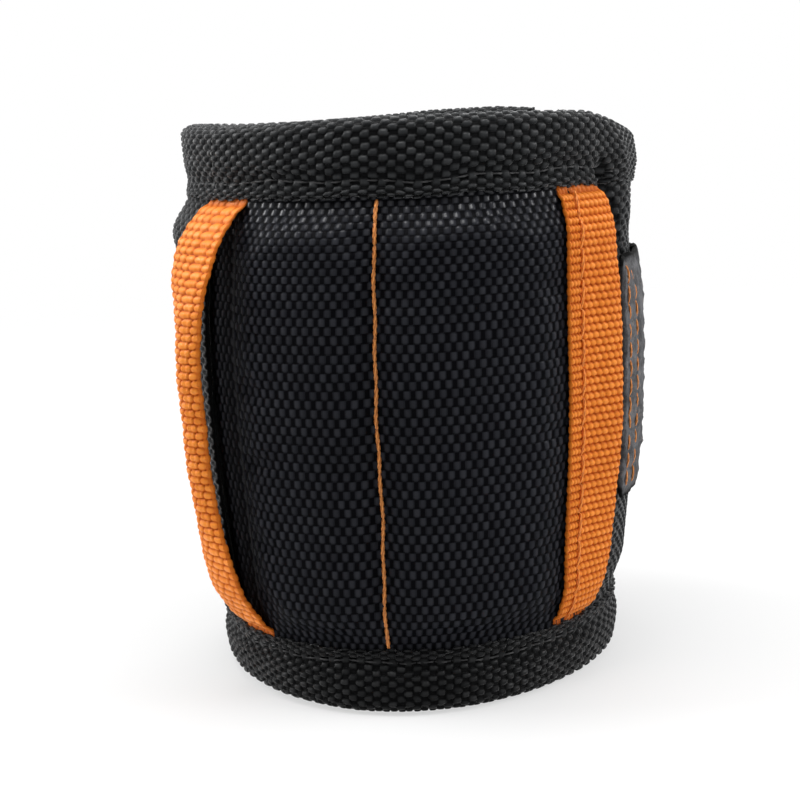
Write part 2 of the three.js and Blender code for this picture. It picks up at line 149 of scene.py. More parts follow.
def laid(s, z, d):
    """A point of soft cloth: on the cuff, with the dents of a band that has been handled."""
    return on_cuff(s, z, np.asarray(d, float) + pressed(s, z))


print("the band's middle stands at", SHIFT.round(3), "mm")

# %% [markdown]
# ## The camera
# A band worn on a wrist is looked at from a little above. The lens is a long one, so that
# the round cuff keeps its true outline. The camera is turned a little about its own axis.

# %% Camera
EYE = Vector((38.1, -282.35, 93.43)) * MM
LENS, SENSOR, NEAR, FAR = 76.5, 36.0, 0.01, 20
YAW, PITCH, ROLL = math.radians(8.23), math.radians(10.325), math.radians(2.477)

level = Vector((-math.sin(YAW), math.cos(YAW), 0))
side = Vector((math.cos(YAW), math.sin(YAW), 0))
ahead = level * math.cos(PITCH) - Vector((0, 0, math.sin(PITCH)))
above = side.cross(ahead)
right = side * math.cos(ROLL) - above * math.sin(ROLL)
top = side * math.sin(ROLL) + above * math.cos(ROLL)

bpy.ops.object.select_all(action="DESELECT")
bpy.ops.object.camera_add()
camera = bpy.context.object
camera.name = "camera"
camera.data.lens, camera.data.sensor_width = LENS, SENSOR
camera.data.clip_start, camera.data.clip_end = NEAR, FAR
axes = Matrix((right, top, -ahead)).transposed().to_4x4()
camera.matrix_world = Matrix.Translation(EYE) @ axes
bpy.context.scene.camera = camera
print("camera at", tuple(round(v / MM, 1) for v in EYE), "mm")

# %% [markdown]
# ## Floor and light
# A pale sweep and large soft lamps are how such a thing is photographed. Black cloth shows
# its weave only by what it reflects, so the light comes from both sides and from above.

# %% Floor and lamps
FLOOR_SIZE = 6.0
LAMP_TARGET = (0, 0, 0.045)
bpy.ops.object.select_all(action="DESELECT")
bpy.ops.mesh.primitive_plane_add(size=FLOOR_SIZE)
floor = bpy.context.object
floor.name = "floor"


def lamp(name, place, size, watts):
    bpy.ops.object.light_add(type="AREA", location=place)
    light = bpy.context.object
    light.name = name
    light.data.size = size
    light.data.energy = watts
    aim = Vector(LAMP_TARGET) - Vector(place)
    light.rotation_euler = aim.to_track_quat("-Z", "Y").to_euler()


lamp("lamp_top", (-0.05, -0.04, 0.75), 0.4, 4.8)
lamp("lamp_left", (-0.72, 0.04, 0.5), 0.45, 5.6)
lamp("lamp_right", (0.72, 0.0, 0.54), 0.45, 5.0)
lamp("lamp_back", (0.1, 0.7, 0.45), 0.5, 2.2)
bpy.context.scene.view_settings.view_transform = "Standard"
print("stage: floor", FLOOR_SIZE, "m and four lamps")

# %% [markdown]
# ## Finishes as recipes
# A material is a web of nodes. Writing it as sums is easier to read than wiring each node,
# so a small class stands for an output and makes a Math node when it is added or multiplied.

# %% The recipe helper
class Wire:
    """The output of a node, ready for a sum."""

    def __init__(self, recipe, socket):
        self.recipe, self.socket = recipe, socket

    def maths(self, operation, *values):
        made = self.recipe.add("Math", {"operation": operation}, dict(enumerate(values)))
        return made["Value"]

    def __add__(self, other):
        return self.maths("ADD", self, other)

    def __sub__(self, other):
        return self.maths("SUBTRACT", self, other)

    def __rsub__(self, other):
        return self.maths("SUBTRACT", other, self)

    def __mul__(self, other):
        return self.maths("MULTIPLY", self, other)

    def __truediv__(self, other):
        return self.maths("DIVIDE", self, other)

    def __pow__(self, other):
        return self.maths("POWER", self, other)

    __radd__ = __add__

    def sine(self):
        return self.maths("SINE", self)

    def floor(self):
        return self.maths("FLOOR", self)

    def above(self, edge):
        return self.maths("GREATER_THAN", self, edge)

    def clipped(self):
        return self.recipe.add("Clamp", {}, {"Value": self})["Result"]


class Made:
    def __init__(self, recipe, node):
        self.recipe, self.node = recipe, node

    def __getitem__(self, name):
        return Wire(self.recipe, self.node.outputs[name])


class Recipe:
    """A material, or the world, under construction."""

    def __init__(self, owner):
        self.owner = owner
        owner.use_nodes = True
        self.tree = owner.node_tree
        self.tree.nodes.clear()

    def add(self, kind, settings=None, inputs=None):
        node = self.tree.nodes.new("ShaderNode" + kind)
        for name, value in (settings or {}).items():
            setattr(node, name, value)
        for name, value in (inputs or {}).items():
            if isinstance(value, Wire):
                self.tree.links.new(value.socket, node.inputs[name])
            elif isinstance(value, tuple) and node.inputs[name].type == "RGBA":
                node.inputs[name].default_value = (*value, 1.0)
            else:
                node.inputs[name].default_value = value
        return Made(self, node)

    def attribute(self, name):
        return self.add("Attribute", {"attribute_name": name})["Fac"]

    def weave_axes(self):
        uv = self.add("UVMap", {"uv_map": "weave"})["UV"]
        parts = self.add("SeparateXYZ", {}, {"Vector": uv})
        return uv, parts["X"], parts["Y"]

    def here(self):
        return self.add("TexCoord")["Object"]

    def noise(self, scale, detail=2.0, where=None, roughness=0.5):
        where = where or self.here()
        inputs = {"Vector": where, "Scale": scale, "Detail": detail, "Roughness": roughness}
        return self.add("TexNoise", {}, inputs)["Fac"]

    def per_yarn(self, u, v):
        """A random number for each crossing of the weave."""
        cell = self.add("CombineXYZ", {}, {"X": u.floor(), "Y": v.floor()})["Vector"]
        return self.add("TexWhiteNoise", {"noise_dimensions": "2D"}, {"Vector": cell})["Value"]

    def mix(self, share, first, second):
        """A colour between two others, at a share of the way."""
        return self.add("Mix", {"data_type": "RGBA"}, {0: share, 6: first, 7: second})[2]

    def seen(self):
        """1 for what the camera, a gloss or clear glass shows, and 0 for what only gives light."""
        rays = self.add("LightPath")
        camera_ray = rays["Is Camera Ray"]
        either = camera_ray.maths("MAXIMUM", camera_ray, rays["Is Glossy Ray"])
        return either.maths("MAXIMUM", either, rays["Is Transmission Ray"])

    def finish(self, color, roughness, height, depth, **fixed):
        bump = {"Height": height, "Distance": depth, "Strength": 1.0}
        normal = self.add("Bump", {}, bump)["Normal"]
        inputs = {"Base Color": color, "Roughness": roughness, "Normal": normal}
        inputs.update({name.replace("_", " "): value for name, value in fixed.items()})
        shader = self.add("BsdfPrincipled", {}, inputs)["BSDF"]
        self.add("OutputMaterial", {}, {"Surface": shader})
        return self.owner


def material(name):
    return Recipe(bpy.data.materials.new(name))


print("recipes ready")

# %% [markdown]
# ## Floor and surroundings
# The floor is a pale card that takes the soft shadow of the band. What the eye sees of it
# is lifted towards white, and far off it is all white, so that no horizon shows. All round
# it is white as well, but only a little light comes from there.

# %% Floor finish and world
SHADOW_KEPT = 0.4
FADE_FROM, FADE_TO = 0.12, 0.5
CARD_DARK, CARD_LIGHT, CARD_GRAIN = (0.69, 0.69, 0.69), (0.71, 0.71, 0.71), 40.0
WHITE, WORLD_LEVEL = (1.0, 1.0, 1.0), 0.11


def floor_finish():
    recipe = material("pale_card")
    far = recipe.add("VectorMath", {"operation": "LENGTH"}, {0: recipe.here()})["Value"]
    fade = ((far - FADE_FROM) / (FADE_TO - FADE_FROM)).clipped()
    share = recipe.seen() * ((1 - SHADOW_KEPT) + fade * SHADOW_KEPT)
    color = recipe.mix(recipe.noise(CARD_GRAIN), CARD_DARK, CARD_LIGHT)
    card = recipe.add("BsdfPrincipled", {}, {"Base Color": color, "Roughness": 0.9})["BSDF"]
    white = recipe.add("Emission", {}, {"Color": WHITE, "Strength": 1.0})["Emission"]
    both = recipe.add("MixShader", {}, {0: share, 1: card, 2: white})["Shader"]
    recipe.add("OutputMaterial", {}, {"Surface": both})
    return recipe.owner


def world_finish():
    recipe = Recipe(bpy.data.worlds.new("studio"))
    dim, white = (
        recipe.add("Background", {}, {"Color": WHITE, "Strength": strength})["Background"]
        for strength in (WORLD_LEVEL, 1.0)
    )
    both = recipe.add("MixShader", {}, {0: recipe.seen(), 1: dim, 2: white})["Shader"]
    recipe.add("OutputWorld", {}, {"Surface": both})
    return recipe.owner


floor.data.materials.append(floor_finish())
bpy.context.scene.world = world_finish()
print("floor finished, world level", WORLD_LEVEL)

# %% [markdown]
# ## Cloth finishes
# Each yarn is a bundle of fine filaments. The mesh carries the yarns, and the finish adds
# the filaments as a fine bump that runs along each yarn, paints shade into the pits between
# the yarns, and lets every crossing differ a little, as woven cloth does. Low on the
# bindings, and on the webbing beside its seams, it paints shade as well.
# Two point attributes tell the finish where it is: lift, from pit to crown, and warp,
# which is 1 where an upright yarn lies on top.

# %% Finish of woven cloth
FILAMENTS, FILAMENT_DEPTH = 7, 0.00003
# Painted shade at the seams reaches this far, in metres.
SEAM_SHADE_REACH = 0.0016
# Between these heights, in metres, the painted shade at the foot fades out.
FOOT_SHADE_FROM, FOOT_SHADE_TO = 0.03, 0.006
TIGHT_REACH = 0.006
TURN = 2 * math.pi


def woven_finish(name, colors, rough, gloss, fuzz, depth, seam=None, foot=1.0, tight=0.0, **fixed):
    """colors are those of the pits, of the upright yarns and of the level ones.

    rough and gloss are pairs, for the upright yarns and for the level ones. seam is a
    colour of painted shade for the sewn ends, where the cloth goes under the bindings,
    foot the share of colour kept low down, where painted shade darkens the cloth towards
    the bottom, and tight says how much more the stretched yarns under the upper seam shine.
    """
    recipe = material(name)
    pit, warp_color, weft_color = colors
    uv, u, v = recipe.weave_axes()
    lift, on_warp = recipe.attribute("lift"), recipe.attribute("warp").above(0.5)
    chance = recipe.per_yarn(u, v)
    along_warp, along_weft = (u * (TURN * FILAMENTS)).sine(), (v * (TURN * FILAMENTS)).sine()
    fine = recipe.noise(9.0, 3.0, uv, 0.6)
    lines = along_weft + (along_warp - along_weft) * on_warp
    shade = (0.75 + chance * 0.3) * (0.8 + recipe.noise(55.0, 3.0) * 0.4)
    # The colour goes over to the pit colour as lift falls: painted shade in the hollows between the
    # yarns.
    strength = ((lift ** depth) * shade).clipped()
    level = recipe.add("SeparateXYZ", {}, {"Vector": recipe.here()})["Z"]
    # Painted shade: towards the bottom the colour goes over to the pit colour, down to the share
    # foot.
    if foot < 1.0:
        above_foot_shade = ((level - FOOT_SHADE_TO) / (FOOT_SHADE_FROM - FOOT_SHADE_TO)).clipped()
        strength = strength * (above_foot_shade * (1.0 - foot) + foot)
    color = recipe.mix(strength, pit, recipe.mix(on_warp, weft_color, warp_color))
    to_top, to_foot = HIGH_SEAM * MM - level, level - LOW_SEAM * MM
    # Painted shade: over the last 1.6 mm before each seam the colour goes over to the seam colour,
    # where the cloth goes under the bindings.
    if seam is not None:
        free = (to_top / SEAM_SHADE_REACH).clipped() * (to_foot / SEAM_SHADE_REACH).clipped()
        color = recipe.mix(free, seam, color)
    matt = rough[1] + on_warp * (rough[0] - rough[1]) + (fine - 0.5) * 0.15
    shine = gloss[1] + on_warp * (gloss[0] - gloss[1])
    shine = shine * (lift ** 3.0) * (0.4 + chance * 1.2)
    if tight > 0:
        shine = shine * ((1.0 - to_top / TIGHT_REACH).clipped() * tight + 1.0)
    height, shine = lines * 0.4 + fine * (1.2 * fuzz), shine.clipped()
    return recipe.finish(color, matt, height, FILAMENT_DEPTH, Coat_Weight=shine, **fixed)


# The first colour of each cloth is the painted shade of its pits.
PANEL = woven_finish(
    "panel_cloth",
    colors=((0.0006, 0.0006, 0.001), (0.0032, 0.0035, 0.0048), (0.0235, 0.0247, 0.0305)),
    rough=(0.35, 0.5),
    gloss=(0.01, 0.085),
    fuzz=0.6,
    depth=1.0,
    tight=5.5,
    Specular_IOR_Level=0.02,
    Coat_Roughness=0.19,
)
BINDING = woven_finish(
    "binding_weave",
    colors=((0.0008, 0.0008, 0.001), (0.0235, 0.0252, 0.027), (0.0125, 0.0133, 0.0146)),
    rough=(0.5, 0.6),
    gloss=(0.22, 0.06),
    fuzz=1.0,
    depth=1.5,
    # Painted shade: low down, the binding keeps this share of its colour.
    foot=0.3,
    Sheen_Weight=0.48,
    Sheen_Roughness=0.3,
    Specular_IOR_Level=0.05,
    Coat_Roughness=0.32,
)
WEBBING = woven_finish(
    "orange_webbing",
    colors=((0.5, 0.085, 0.006), (0.98, 0.305, 0.032), (0.78, 0.185, 0.018)),
    rough=(0.5, 0.5),
    gloss=(0.3, 0.3),
    fuzz=0.7,
    depth=1.2,
    # Painted shade where the webbing goes under the bindings.
    seam=(0.65, 0.15, 0.018),
    Specular_IOR_Level=0.1,
    Coat_Roughness=0.35,
)
print("woven finishes ready")

# %% Finish of thread
def thread_finish(name, dark, light):
    recipe = material(name)
    u, v = recipe.weave_axes()[1:]
    strands = (u * (TURN * 3) + v * TURN).sine()
    fine = recipe.noise(1400.0, 3.0)
    share = (0.5 + strands * 0.3 + (fine - 0.5) * 0.8).clipped()
    return recipe.finish(recipe.mix(share, dark, light), 0.6, strands + fine, FILAMENT_DEPTH)


THREAD = thread_finish("orange_thread", (0.45, 0.12, 0.02), (0.95, 0.38, 0.09))
BRIGHT_THREAD = thread_finish("bright_thread", (0.6, 0.12, 0.01), (1.0, 0.34, 0.045))
DARK_THREAD = thread_finish("dark_thread", (0.0015, 0.0015, 0.002), (0.009, 0.009, 0.01))
print("thread finishes ready")

# %% Finishes of the brushed strap, the loops and the hooks
CUT_EDGE = (0.006, 0.006, 0.006)


def brushed_finish(name, dark, light, fleck, depth):
    recipe = material(name)
    soft = recipe.noise(160.0, 4.0, None, 0.7)
    patches = recipe.noise(330.0, 3.0, None, 0.6)
    fibres = recipe.noise(1500.0, 4.0, None, 0.75)
    flecks = recipe.noise(700.0, 2.0).above(0.63)
    worn = (patches * 2.0 - 0.6).clipped()
    base = recipe.mix((fibres * 0.9 + worn * 0.8 - 0.35).clipped(), dark, light)
    shade = recipe.mix(flecks * 0.35, base, fleck)
    color = recipe.mix(recipe.attribute("cut"), shade, CUT_EDGE)
    return recipe.finish(color, 0.9, fibres + soft, depth, Specular_IOR_Level=0.1)


BRUSHED = brushed_finish(
    "brushed_cloth", (0.04, 0.04, 0.042), (0.22, 0.22, 0.23), (0.27, 0.24, 0.22), 0.0003
)
LOOPS = brushed_finish(
    "loop_cloth", (0.008, 0.008, 0.009), (0.05, 0.05, 0.053), (0.09, 0.09, 0.095), 0.0004
)
print("brushed finishes ready")

# %% Finishes of the lining, the foam and the magnets
def mesh_finish():
    recipe = material("lining_mesh")
    u, v = recipe.weave_axes()[1:]
    across, along = ((u + v.floor() * 0.5) * TURN).sine(), (v * TURN).sine()
    hole = ((across * along) * 0.5 + 0.5).clipped()
    fine = recipe.noise(900.0)
    shade = (hole * 0.7 + fine * 0.3).clipped()
    color = recipe.mix(shade, (0.006, 0.006, 0.007), (0.045, 0.046, 0.05))
    return recipe.finish(color, 0.75, hole + fine * 0.3, 0.00025)


def foam_finish():
    recipe = material("foam")
    cells = recipe.add("TexVoronoi", {}, {"Vector": recipe.here(), "Scale": 1400.0})["Distance"]
    share = (cells + recipe.noise(120.0, 3.0) * 0.4).clipped()
    color = recipe.mix(share, (0.02, 0.02, 0.021), (0.07, 0.07, 0.073))
    return recipe.finish(color, 0.95, cells, 0.0002)


def nickel_finish():
    recipe = material("nickel")
    smear = recipe.noise(220.0, 4.0)
    color = recipe.mix(smear, (0.62, 0.61, 0.59), (0.76, 0.75, 0.73))
    fine = recipe.noise(2600.0, 2.0)
    return recipe.finish(color, 0.16 + smear * 0.2, fine, 0.00001, Metallic=1.0)


MESH, FOAM, NICKEL = mesh_finish(), foam_finish(), nickel_finish()
print("inner finishes ready")

# %% [markdown]
# ## A sheet of yarns
# Cloth starts as a flat grid of faces. Every point of the grid knows its column and row. The
# grid is laid on the band by a function, and then each point is moved along the outward
# direction of the surface by the height of the yarn there. That direction is found from the
# laid grid itself. So the beads of the weave stand out in the outline too, which a bump
# in the finish could never do.

# %% Grids
def points_of(mesh):
    """The points of a mesh, in metres."""
    flat = np.empty(len(mesh.vertices) * 3, np.float32)
    mesh.vertices.foreach_get("co", flat)
    return flat.reshape(-1, 3)


def cloth_grid(name, columns, rows):
    """A flat grid of faces and, for each of its points, its column and row."""
    bpy.ops.object.select_all(action="DESELECT")
    bpy.ops.mesh.primitive_grid_add(x_subdivisions=columns, y_subdivisions=rows, size=1.0)
    piece = bpy.context.object
    piece.name = piece.data.name = name
    flat = points_of(piece.data)
    column = np.rint((flat[:, 0] + 0.5) * columns).astype(int)
    row = np.rint((flat[:, 1] + 0.5) * rows).astype(int)
    return piece, column, row


def put_points(piece, points):
    piece.data.vertices.foreach_set("co", (points * MM).astype(np.float32).ravel())
    piece.data.update()


def steps(low, high, spacing):
    """Evenly spaced numbers from low to high, about one spacing apart."""
    return np.linspace(low, high, max(2, round(abs(high - low) / spacing)) + 1)


def on_yarns(low, high, yarn, points):
    """The two ends and, between them, numbers that meet the edge of every yarn."""
    step = yarn / points
    first, last = math.ceil(low / step + 0.25), math.floor(high / step - 0.25)
    return np.concatenate([[low], np.arange(first, last + 1) * step, [high]])


print("grids ready")

# %% The outward direction of a laid grid
def unit(v):
    """The same directions with a length of one."""
    return v / np.maximum(np.linalg.norm(v, axis=-1, keepdims=True), 1e-12)


def outward(points):
    """The direction square to a rolled grid of points, of shape (rows, columns, 3)."""
    body = points[:-1]
    along = np.roll(body, -1, 0) - np.roll(body, 1, 0)
    along = np.concatenate([along, along[:1]])
    return unit(np.cross(np.gradient(points, axis=1), along))


def store(piece, name, values):
    layer = piece.data.attributes.new(name, "FLOAT", "POINT")
    layer.data.foreach_set("value", values.astype(np.float32).ravel())


def weave_map(piece, u, v):
    """Writes the count of yarns across and along as the piece's own UV map."""
    mesh = piece.data
    while mesh.uv_layers:
        mesh.uv_layers.remove(mesh.uv_layers[0])
    layer = mesh.uv_layers.new(name="weave")
    corner = np.empty(len(mesh.loops), np.int32)
    mesh.loops.foreach_get("vertex_index", corner)
    pairs = np.stack([u[corner], v[corner]], -1).astype(np.float32)
    layer.data.foreach_set("uv", pairs.ravel())


print("directions ready")

# %% [markdown]
# ## Closing a tube
# A cloth with a thickness is a tube pressed flat. Its grid is rolled up until the last row
# lies on the first. Merging doubles closes the roll, and filling holes closes both ends.

# %% Closed tubes of cloth
# Rows without a weave take this lift, and with it part of the painted shade of the pits.
PLAIN_LIFT = 0.45


def edit_all(piece):
    """Goes into edit mode with the whole of one piece selected."""
    bpy.ops.object.select_all(action="DESELECT")
    piece.select_set(True)
    bpy.context.view_layer.objects.active = piece
    bpy.ops.object.mode_set(mode="EDIT")
    bpy.ops.mesh.select_all(action="SELECT")


def close_tube(piece):
    edit_all(piece)
    bpy.ops.mesh.remove_doubles(threshold=1e-7)
    bpy.ops.mesh.select_all(action="SELECT")
    bpy.ops.mesh.fill_holes(sides=0)
    bpy.ops.object.mode_set(mode="OBJECT")
    bpy.ops.object.shade_smooth()


def rolled(name, points, u, v, finish, **marks):
    """Rolls up a grid of points whose last row repeats the first, and closes it.

    u and v count the yarns, and marks are what else the finish reads at each point.
    """
    u, v = np.broadcast_arrays(u, v)
    piece, column, row = cloth_grid(name, u.shape[1] - 1, u.shape[0] - 1)
    put_points(piece, points[row, column])
    for mark, values in marks.items():
        store(piece, mark, values[row, column])
    weave_map(piece, u[row, column], v[row, column])
    close_tube(piece)
    piece.data.materials.append(finish)
    print(name, len(piece.data.polygons), "faces")
    return piece


def tube(name, points, u, v, weave, woven, finish):
    """A closed tube of woven cloth, whose rows go round it.

    weave gives height, lift and warp from the yarn counts u and v, and woven says
    for each row how much of that height it takes.
    """
    u, v = np.broadcast_arrays(u, v)
    height, lift, warp = weave(u, v)
    share = np.asarray(woven, float)[:, None]
    points = points + outward(points) * (height * share)[..., None]
    points[-1] = points[0]
    lift = lift * share + PLAIN_LIFT * (1 - share)
    return rolled(name, points, u, v, finish, lift=lift, warp=warp)


print("tubes ready")

# %% [markdown]
# ## Weaves as heights
# In a plain weave every yarn goes over one and under the next. An upright yarn is a round
# ridge that waves up and down, and so is a level yarn, half a step later. Whichever is
# higher at a place is what is seen there. The webbing is woven from thick cords packed
# like bricks, so it is a field of oval beads.

# %% Heights of the weaves
PIT_SHARE = 0.3


def plain_weave(warp, weft, squareness, long, wander=0.0):
    """warp and weft are each a lift, a roundness and its power.

    long makes the upright yarns show longer, and wander lets the yarns stray a little.
    """

    def wave(t):
        return np.tanh(squareness * np.cos(np.pi * t)) / np.tanh(squareness)

    def bulge(t, power):
        return np.sqrt(np.maximum(0, 1 - np.abs(2 * t) ** power))

    def weave(u, v):
        astray = wander * np.sin(1.9 * v + 2.4 * np.sin(0.37 * u))
        v = v + wander * np.sin(1.6 * u + 2.1 * np.sin(0.41 * v))
        u = u + astray
        i, j = np.floor(u), np.floor(v)
        x, y = u - i - 0.5, v - j - 0.5
        over = np.where((i + j) % 2 < 0.5, 1.0, -1.0)
        upright = warp[0] * (over * wave(y) + long) + warp[1] * bulge(x, warp[2])
        level = -weft[0] * over * wave(x) + weft[1] * bulge(y, weft[2])
        height = np.maximum(upright, level)
        crown = max(warp[0] * (1 + long) + warp[1], weft[0] + weft[1])
        pit = -PIT_SHARE * min(warp[0], weft[0])
        lift = np.clip((height - pit) / (crown - pit), 0, 1)
        return height - crown, lift, (upright > level).astype(float)

    return weave


def brick_weave(depth, wide, tall, offset=0.5, slant=0.0, power=2.0):
    """Beads of cord in rows; every other row is set off, and each bead leans a little."""

    def weave(u, v):
        best = np.zeros(u.shape)
        for step in (-1, 0, 1):
            j = np.floor(v) + step
            y = v - j - 0.5
            shifted = u + offset * (j % 2) + slant * y
            x = shifted - np.floor(shifted) - 0.5
            bead = np.sqrt(np.maximum(0, 1 - np.abs(x / wide) ** power - (y / tall) ** 2))
            best = np.maximum(best, bead)
        return depth * (best - 1), best, np.ones(u.shape)

    return weave


BINDING_YARN, BINDING_PICK, LOW_PICK = 1.32, 0.92, 0.79
BINDING_WEAVE = plain_weave((0.25, 0.27, 4), (0.08, 0.14, 2.4), 1.9, long=0.3, wander=0.045)
PANEL_YARN, PANEL_PICK = 0.79, 1.36
PANEL_WEAVE = plain_weave((0.05, 0.1, 4), (0.1, 0.13, 3.6), 2.6, long=-0.5)
print("weaves ready")

# %% [markdown]
# ## Swelling of the padding
# The padding is thin at the seams and full in the field. These few functions say how far
# the cloth stands from the middle of the padding at each place, as in the solids.

# %% Levels of the cloth
CLOTH, FOAM_THICK, GAP = 1.0, 3.0, 0.3
FACE = FOAM_THICK / 2 + GAP
SEAM = GAP / 2
PILLOW = 7.0
CROWN, CHANNEL, CHANNEL_REACH = 1.3, 1.1, 3.6
FOLD_DIP, FOLD_REACH, FOLD_MARGIN = 0.7, 4.0, 2.0
BED, BED_REACH = 1.6, 3.0
END_BINDING = 10.0


def padded(share):
    return SEAM + (FACE - SEAM) * share


def full_up(z):
    return smooth((z - LOW_SEAM) / PILLOW) * smooth((HIGH_SEAM - z) / PILLOW)


def full_from(s, fold):
    return 1 - (FOLD_DIP / (FACE + CLOTH)) * (1 - smooth(np.abs(s - fold) / FOLD_REACH))


def full_at_folds(s):
    return full_from(s, LEFT_FOLD) * full_from(s, RIGHT_FOLD)


def crown(s, z):
    width = np.where(s < 0, LEFT_FIELD, RIGHT_FIELD)
    across = np.sin(np.pi * np.clip(np.abs(s) / width, 0, 1))
    up = np.sin(np.pi * np.clip((z - LOW_SEAM) / (HIGH_SEAM - LOW_SEAM), 0, 1))
    return CROWN * across * np.sqrt(up)


def front_swell(s, z):
    channel = CHANNEL * (1 - smooth(np.abs(s) / CHANNEL_REACH)) * full_up(z)
    return padded(full_up(z) * full_at_folds(s)) + crown(s, z) - channel


def front_face(s, z):
    bed = smooth((-LEFT_FIELD - s) / BED_REACH) * smooth((s - LEFT_FOLD) / FOLD_MARGIN)
    return front_swell(s, z) - BED * bed * full_up(z)


def front_back(s, z):
    return padded(full_up(z) * full_at_folds(s))


def wing_face(s, z, fold, end):
    sign = np.sign(end - fold)
    full = smooth(sign * (end - sign * END_BINDING - s) / PILLOW)
    return padded(full_up(z) * full_from(s, fold) * full)


print("cloth face in the field at", round(float(front_face(-10.0, 44.0)) + CLOTH, 2), "mm")

# %% [markdown]
# ## Slack cloth over the padding
# The two fields are filled a little, and their cloth is a little longer than the frame it
# is sewn into, so it swells and wrinkles near the seams. That is work for the cloth
# simulation: a flat coarse cloth, ten times real size so that it stays steady, is held
# round its edge and pushed from behind. What comes out is kept as a table of heights.

# %% Cloth simulation of the two fields
SIM_SCALE, SIM_SPACING, SIM_FRAMES = 0.01, 1.5, 20
SLACK, PUSH, MOST_SWELL = 0.035, 4.0, 1.7


def swell_table(name, width, height):
    columns, rows = round(width / SIM_SPACING), round(height / SIM_SPACING)
    piece, column, row = cloth_grid(name, columns, rows)
    flat = np.stack([column / columns * width, row / rows * height, 0 * row], -1)
    put_points(piece, flat * SIM_SCALE / MM)
    edge = (column == 0) | (column == columns) | (row == 0) | (row == rows)
    sewn = piece.vertex_groups.new(name="sewn")
    sewn.add([int(i) for i in np.flatnonzero(edge)], 1.0, "REPLACE")
    cloth = piece.modifiers.new("cloth", "CLOTH")
    cloth.settings.vertex_group_mass = "sewn"
    cloth.settings.use_pressure = True
    cloth.settings.uniform_pressure_force = PUSH
    cloth.settings.shrink_min = -SLACK
    cloth.settings.effector_weights.gravity = 0
    cloth.collision_settings.use_collision = False
    for frame_number in range(1, SIM_FRAMES + 1):
        bpy.context.scene.frame_set(frame_number)
    bpy.ops.object.modifier_apply(modifier="cloth")
    bpy.context.scene.frame_set(1)
    table = np.zeros((rows + 1, columns + 1))
    table[row, column] = points_of(piece.data)[:, 2] / SIM_SCALE
    bpy.data.objects.remove(piece)
    print(name, "swells by up to", round(float(table.max()), 2), "mm")
    return np.clip(table, 0, MOST_SWELL)


def curve_shares(t):
    """What four neighbouring cells give to a smooth curve.

    t is the share of the way from the second cell to the third.
    """
    near, far = 3 * t**3 - 6 * t**2 + 4, -3 * t**3 + 3 * t**2 + 3 * t + 1
    return [share / 6 for share in ((1 - t) ** 3, near, far, t**3)]


def from_table(table, across, along):
    """Reads a table at shares from 0 to 1 across and along, smoothly through its cells."""
    rows, columns = table.shape
    x, y = np.clip(across, 0, 1) * (columns - 1), np.clip(along, 0, 1) * (rows - 1)
    i, j = np.minimum(x.astype(int), columns - 2), np.minimum(y.astype(int), rows - 2)
    framed = np.pad(table, 1, mode="reflect", reflect_type="odd")
    across_shares, along_shares = curve_shares(x - i), curve_shares(y - j)
    found = np.zeros(x.shape)
    for m in range(4):
        for n in range(4):
            found = found + framed[j + m, i + n] * along_shares[m] * across_shares[n]
    return found


FIELD_HEIGHT = HIGH_SEAM - LOW_SEAM
left_table = swell_table("left_swell", LEFT_FIELD, FIELD_HEIGHT)
right_table = swell_table("right_swell", RIGHT_FIELD, FIELD_HEIGHT)

# %% The face of the two fields with that swelling
SWELL_EASE = 4.4


def slack_face(s, z):
    """The face of the front, with the simulated swelling in place of the plain crown."""
    if left_table is None:
        return front_face(s, z)
    up = (z - LOW_SEAM) / FIELD_HEIGHT
    left = from_table(left_table, s / LEFT_FIELD + 1, up)
    right = from_table(right_table, s / RIGHT_FIELD, up)
    swell = np.where(s < 0, left, right)
    inside = (s > -LEFT_FIELD) & (s < RIGHT_FIELD) & (up > 0) & (up < 1)
    ease = smooth(np.minimum(z - LOW_SEAM, HIGH_SEAM - z) / SWELL_EASE)
    return front_face(s, z) - crown(s, z) + np.where(inside, swell, 0.0) * ease


middle_level = float(slack_face(np.array([14.0]), np.array([44.0]))[0])
print("field face at mid height:", round(middle_level, 2), "mm")

# %% [markdown]
# ## The rim
# A soft band never stands quite level. Its rim drops a little where the wings turn away,
# most on the right. The drop is a table round the band, and the bindings along the edges
# and their threads read it, so that they stay together.

# %% Drop of the rim
RIM_PLACES = [-110.58, -104, -95, -85, -72, -60, -50, -42, -30, -18]
RIM_PLACES += [-8, 0, 20, 36, 46, 56, 68, 85, 98, 110.58]
RIM_DROPS = [0.3, 0.7, 1.1, 1.3, 1.2, 0.8, 0.6, 0.8, 0.9, 0.7]
RIM_DROPS += [0.3, 0.1, 0.2, 0.7, 2.6, 4.2, 3.3, 0.8, 0.1, 0.3]
RIM_ROOM = HEIGHT - HIGH_SEAM
FOOT_PLACES = [-110.58, -75, -60, -45, -30, -18, -5, 110.58]
FOOT_LIFTS = [0.0, 0.0, 0.4, 0.6, 0.6, 0.35, 0.0, 0.0]
RIM_EASE, FOOT_EASE = 4, 3


def rim_drop(s, z):
    """How far the rim drops, less how far the foot is lifted off the ground."""
    turned = (np.asarray(s, float) + GIRTH / 2) % GIRTH - GIRTH / 2
    near_rim = smooth((z - HIGH_SEAM + RIM_EASE) / (RIM_ROOM + RIM_EASE))
    near_foot = smooth((LOW_SEAM + FOOT_EASE - z) / (LOW_SEAM + FOOT_EASE))
    drop = np.interp(turned, RIM_PLACES, RIM_DROPS) * near_rim
    return drop - np.interp(turned, FOOT_PLACES, FOOT_LIFTS) * near_foot


def ripple(s, size, length, phase):
    """A gentle unevenness along a sewn edge, in millimetres: a long wave and a short one."""
    long_wave = np.sin(2 * np.pi * s / length + phase)
    short_wave = np.sin(2 * np.pi * s / (length * 0.37) + 2 * phase)
    return size * (0.6 * long_wave + 0.4 * short_wave)


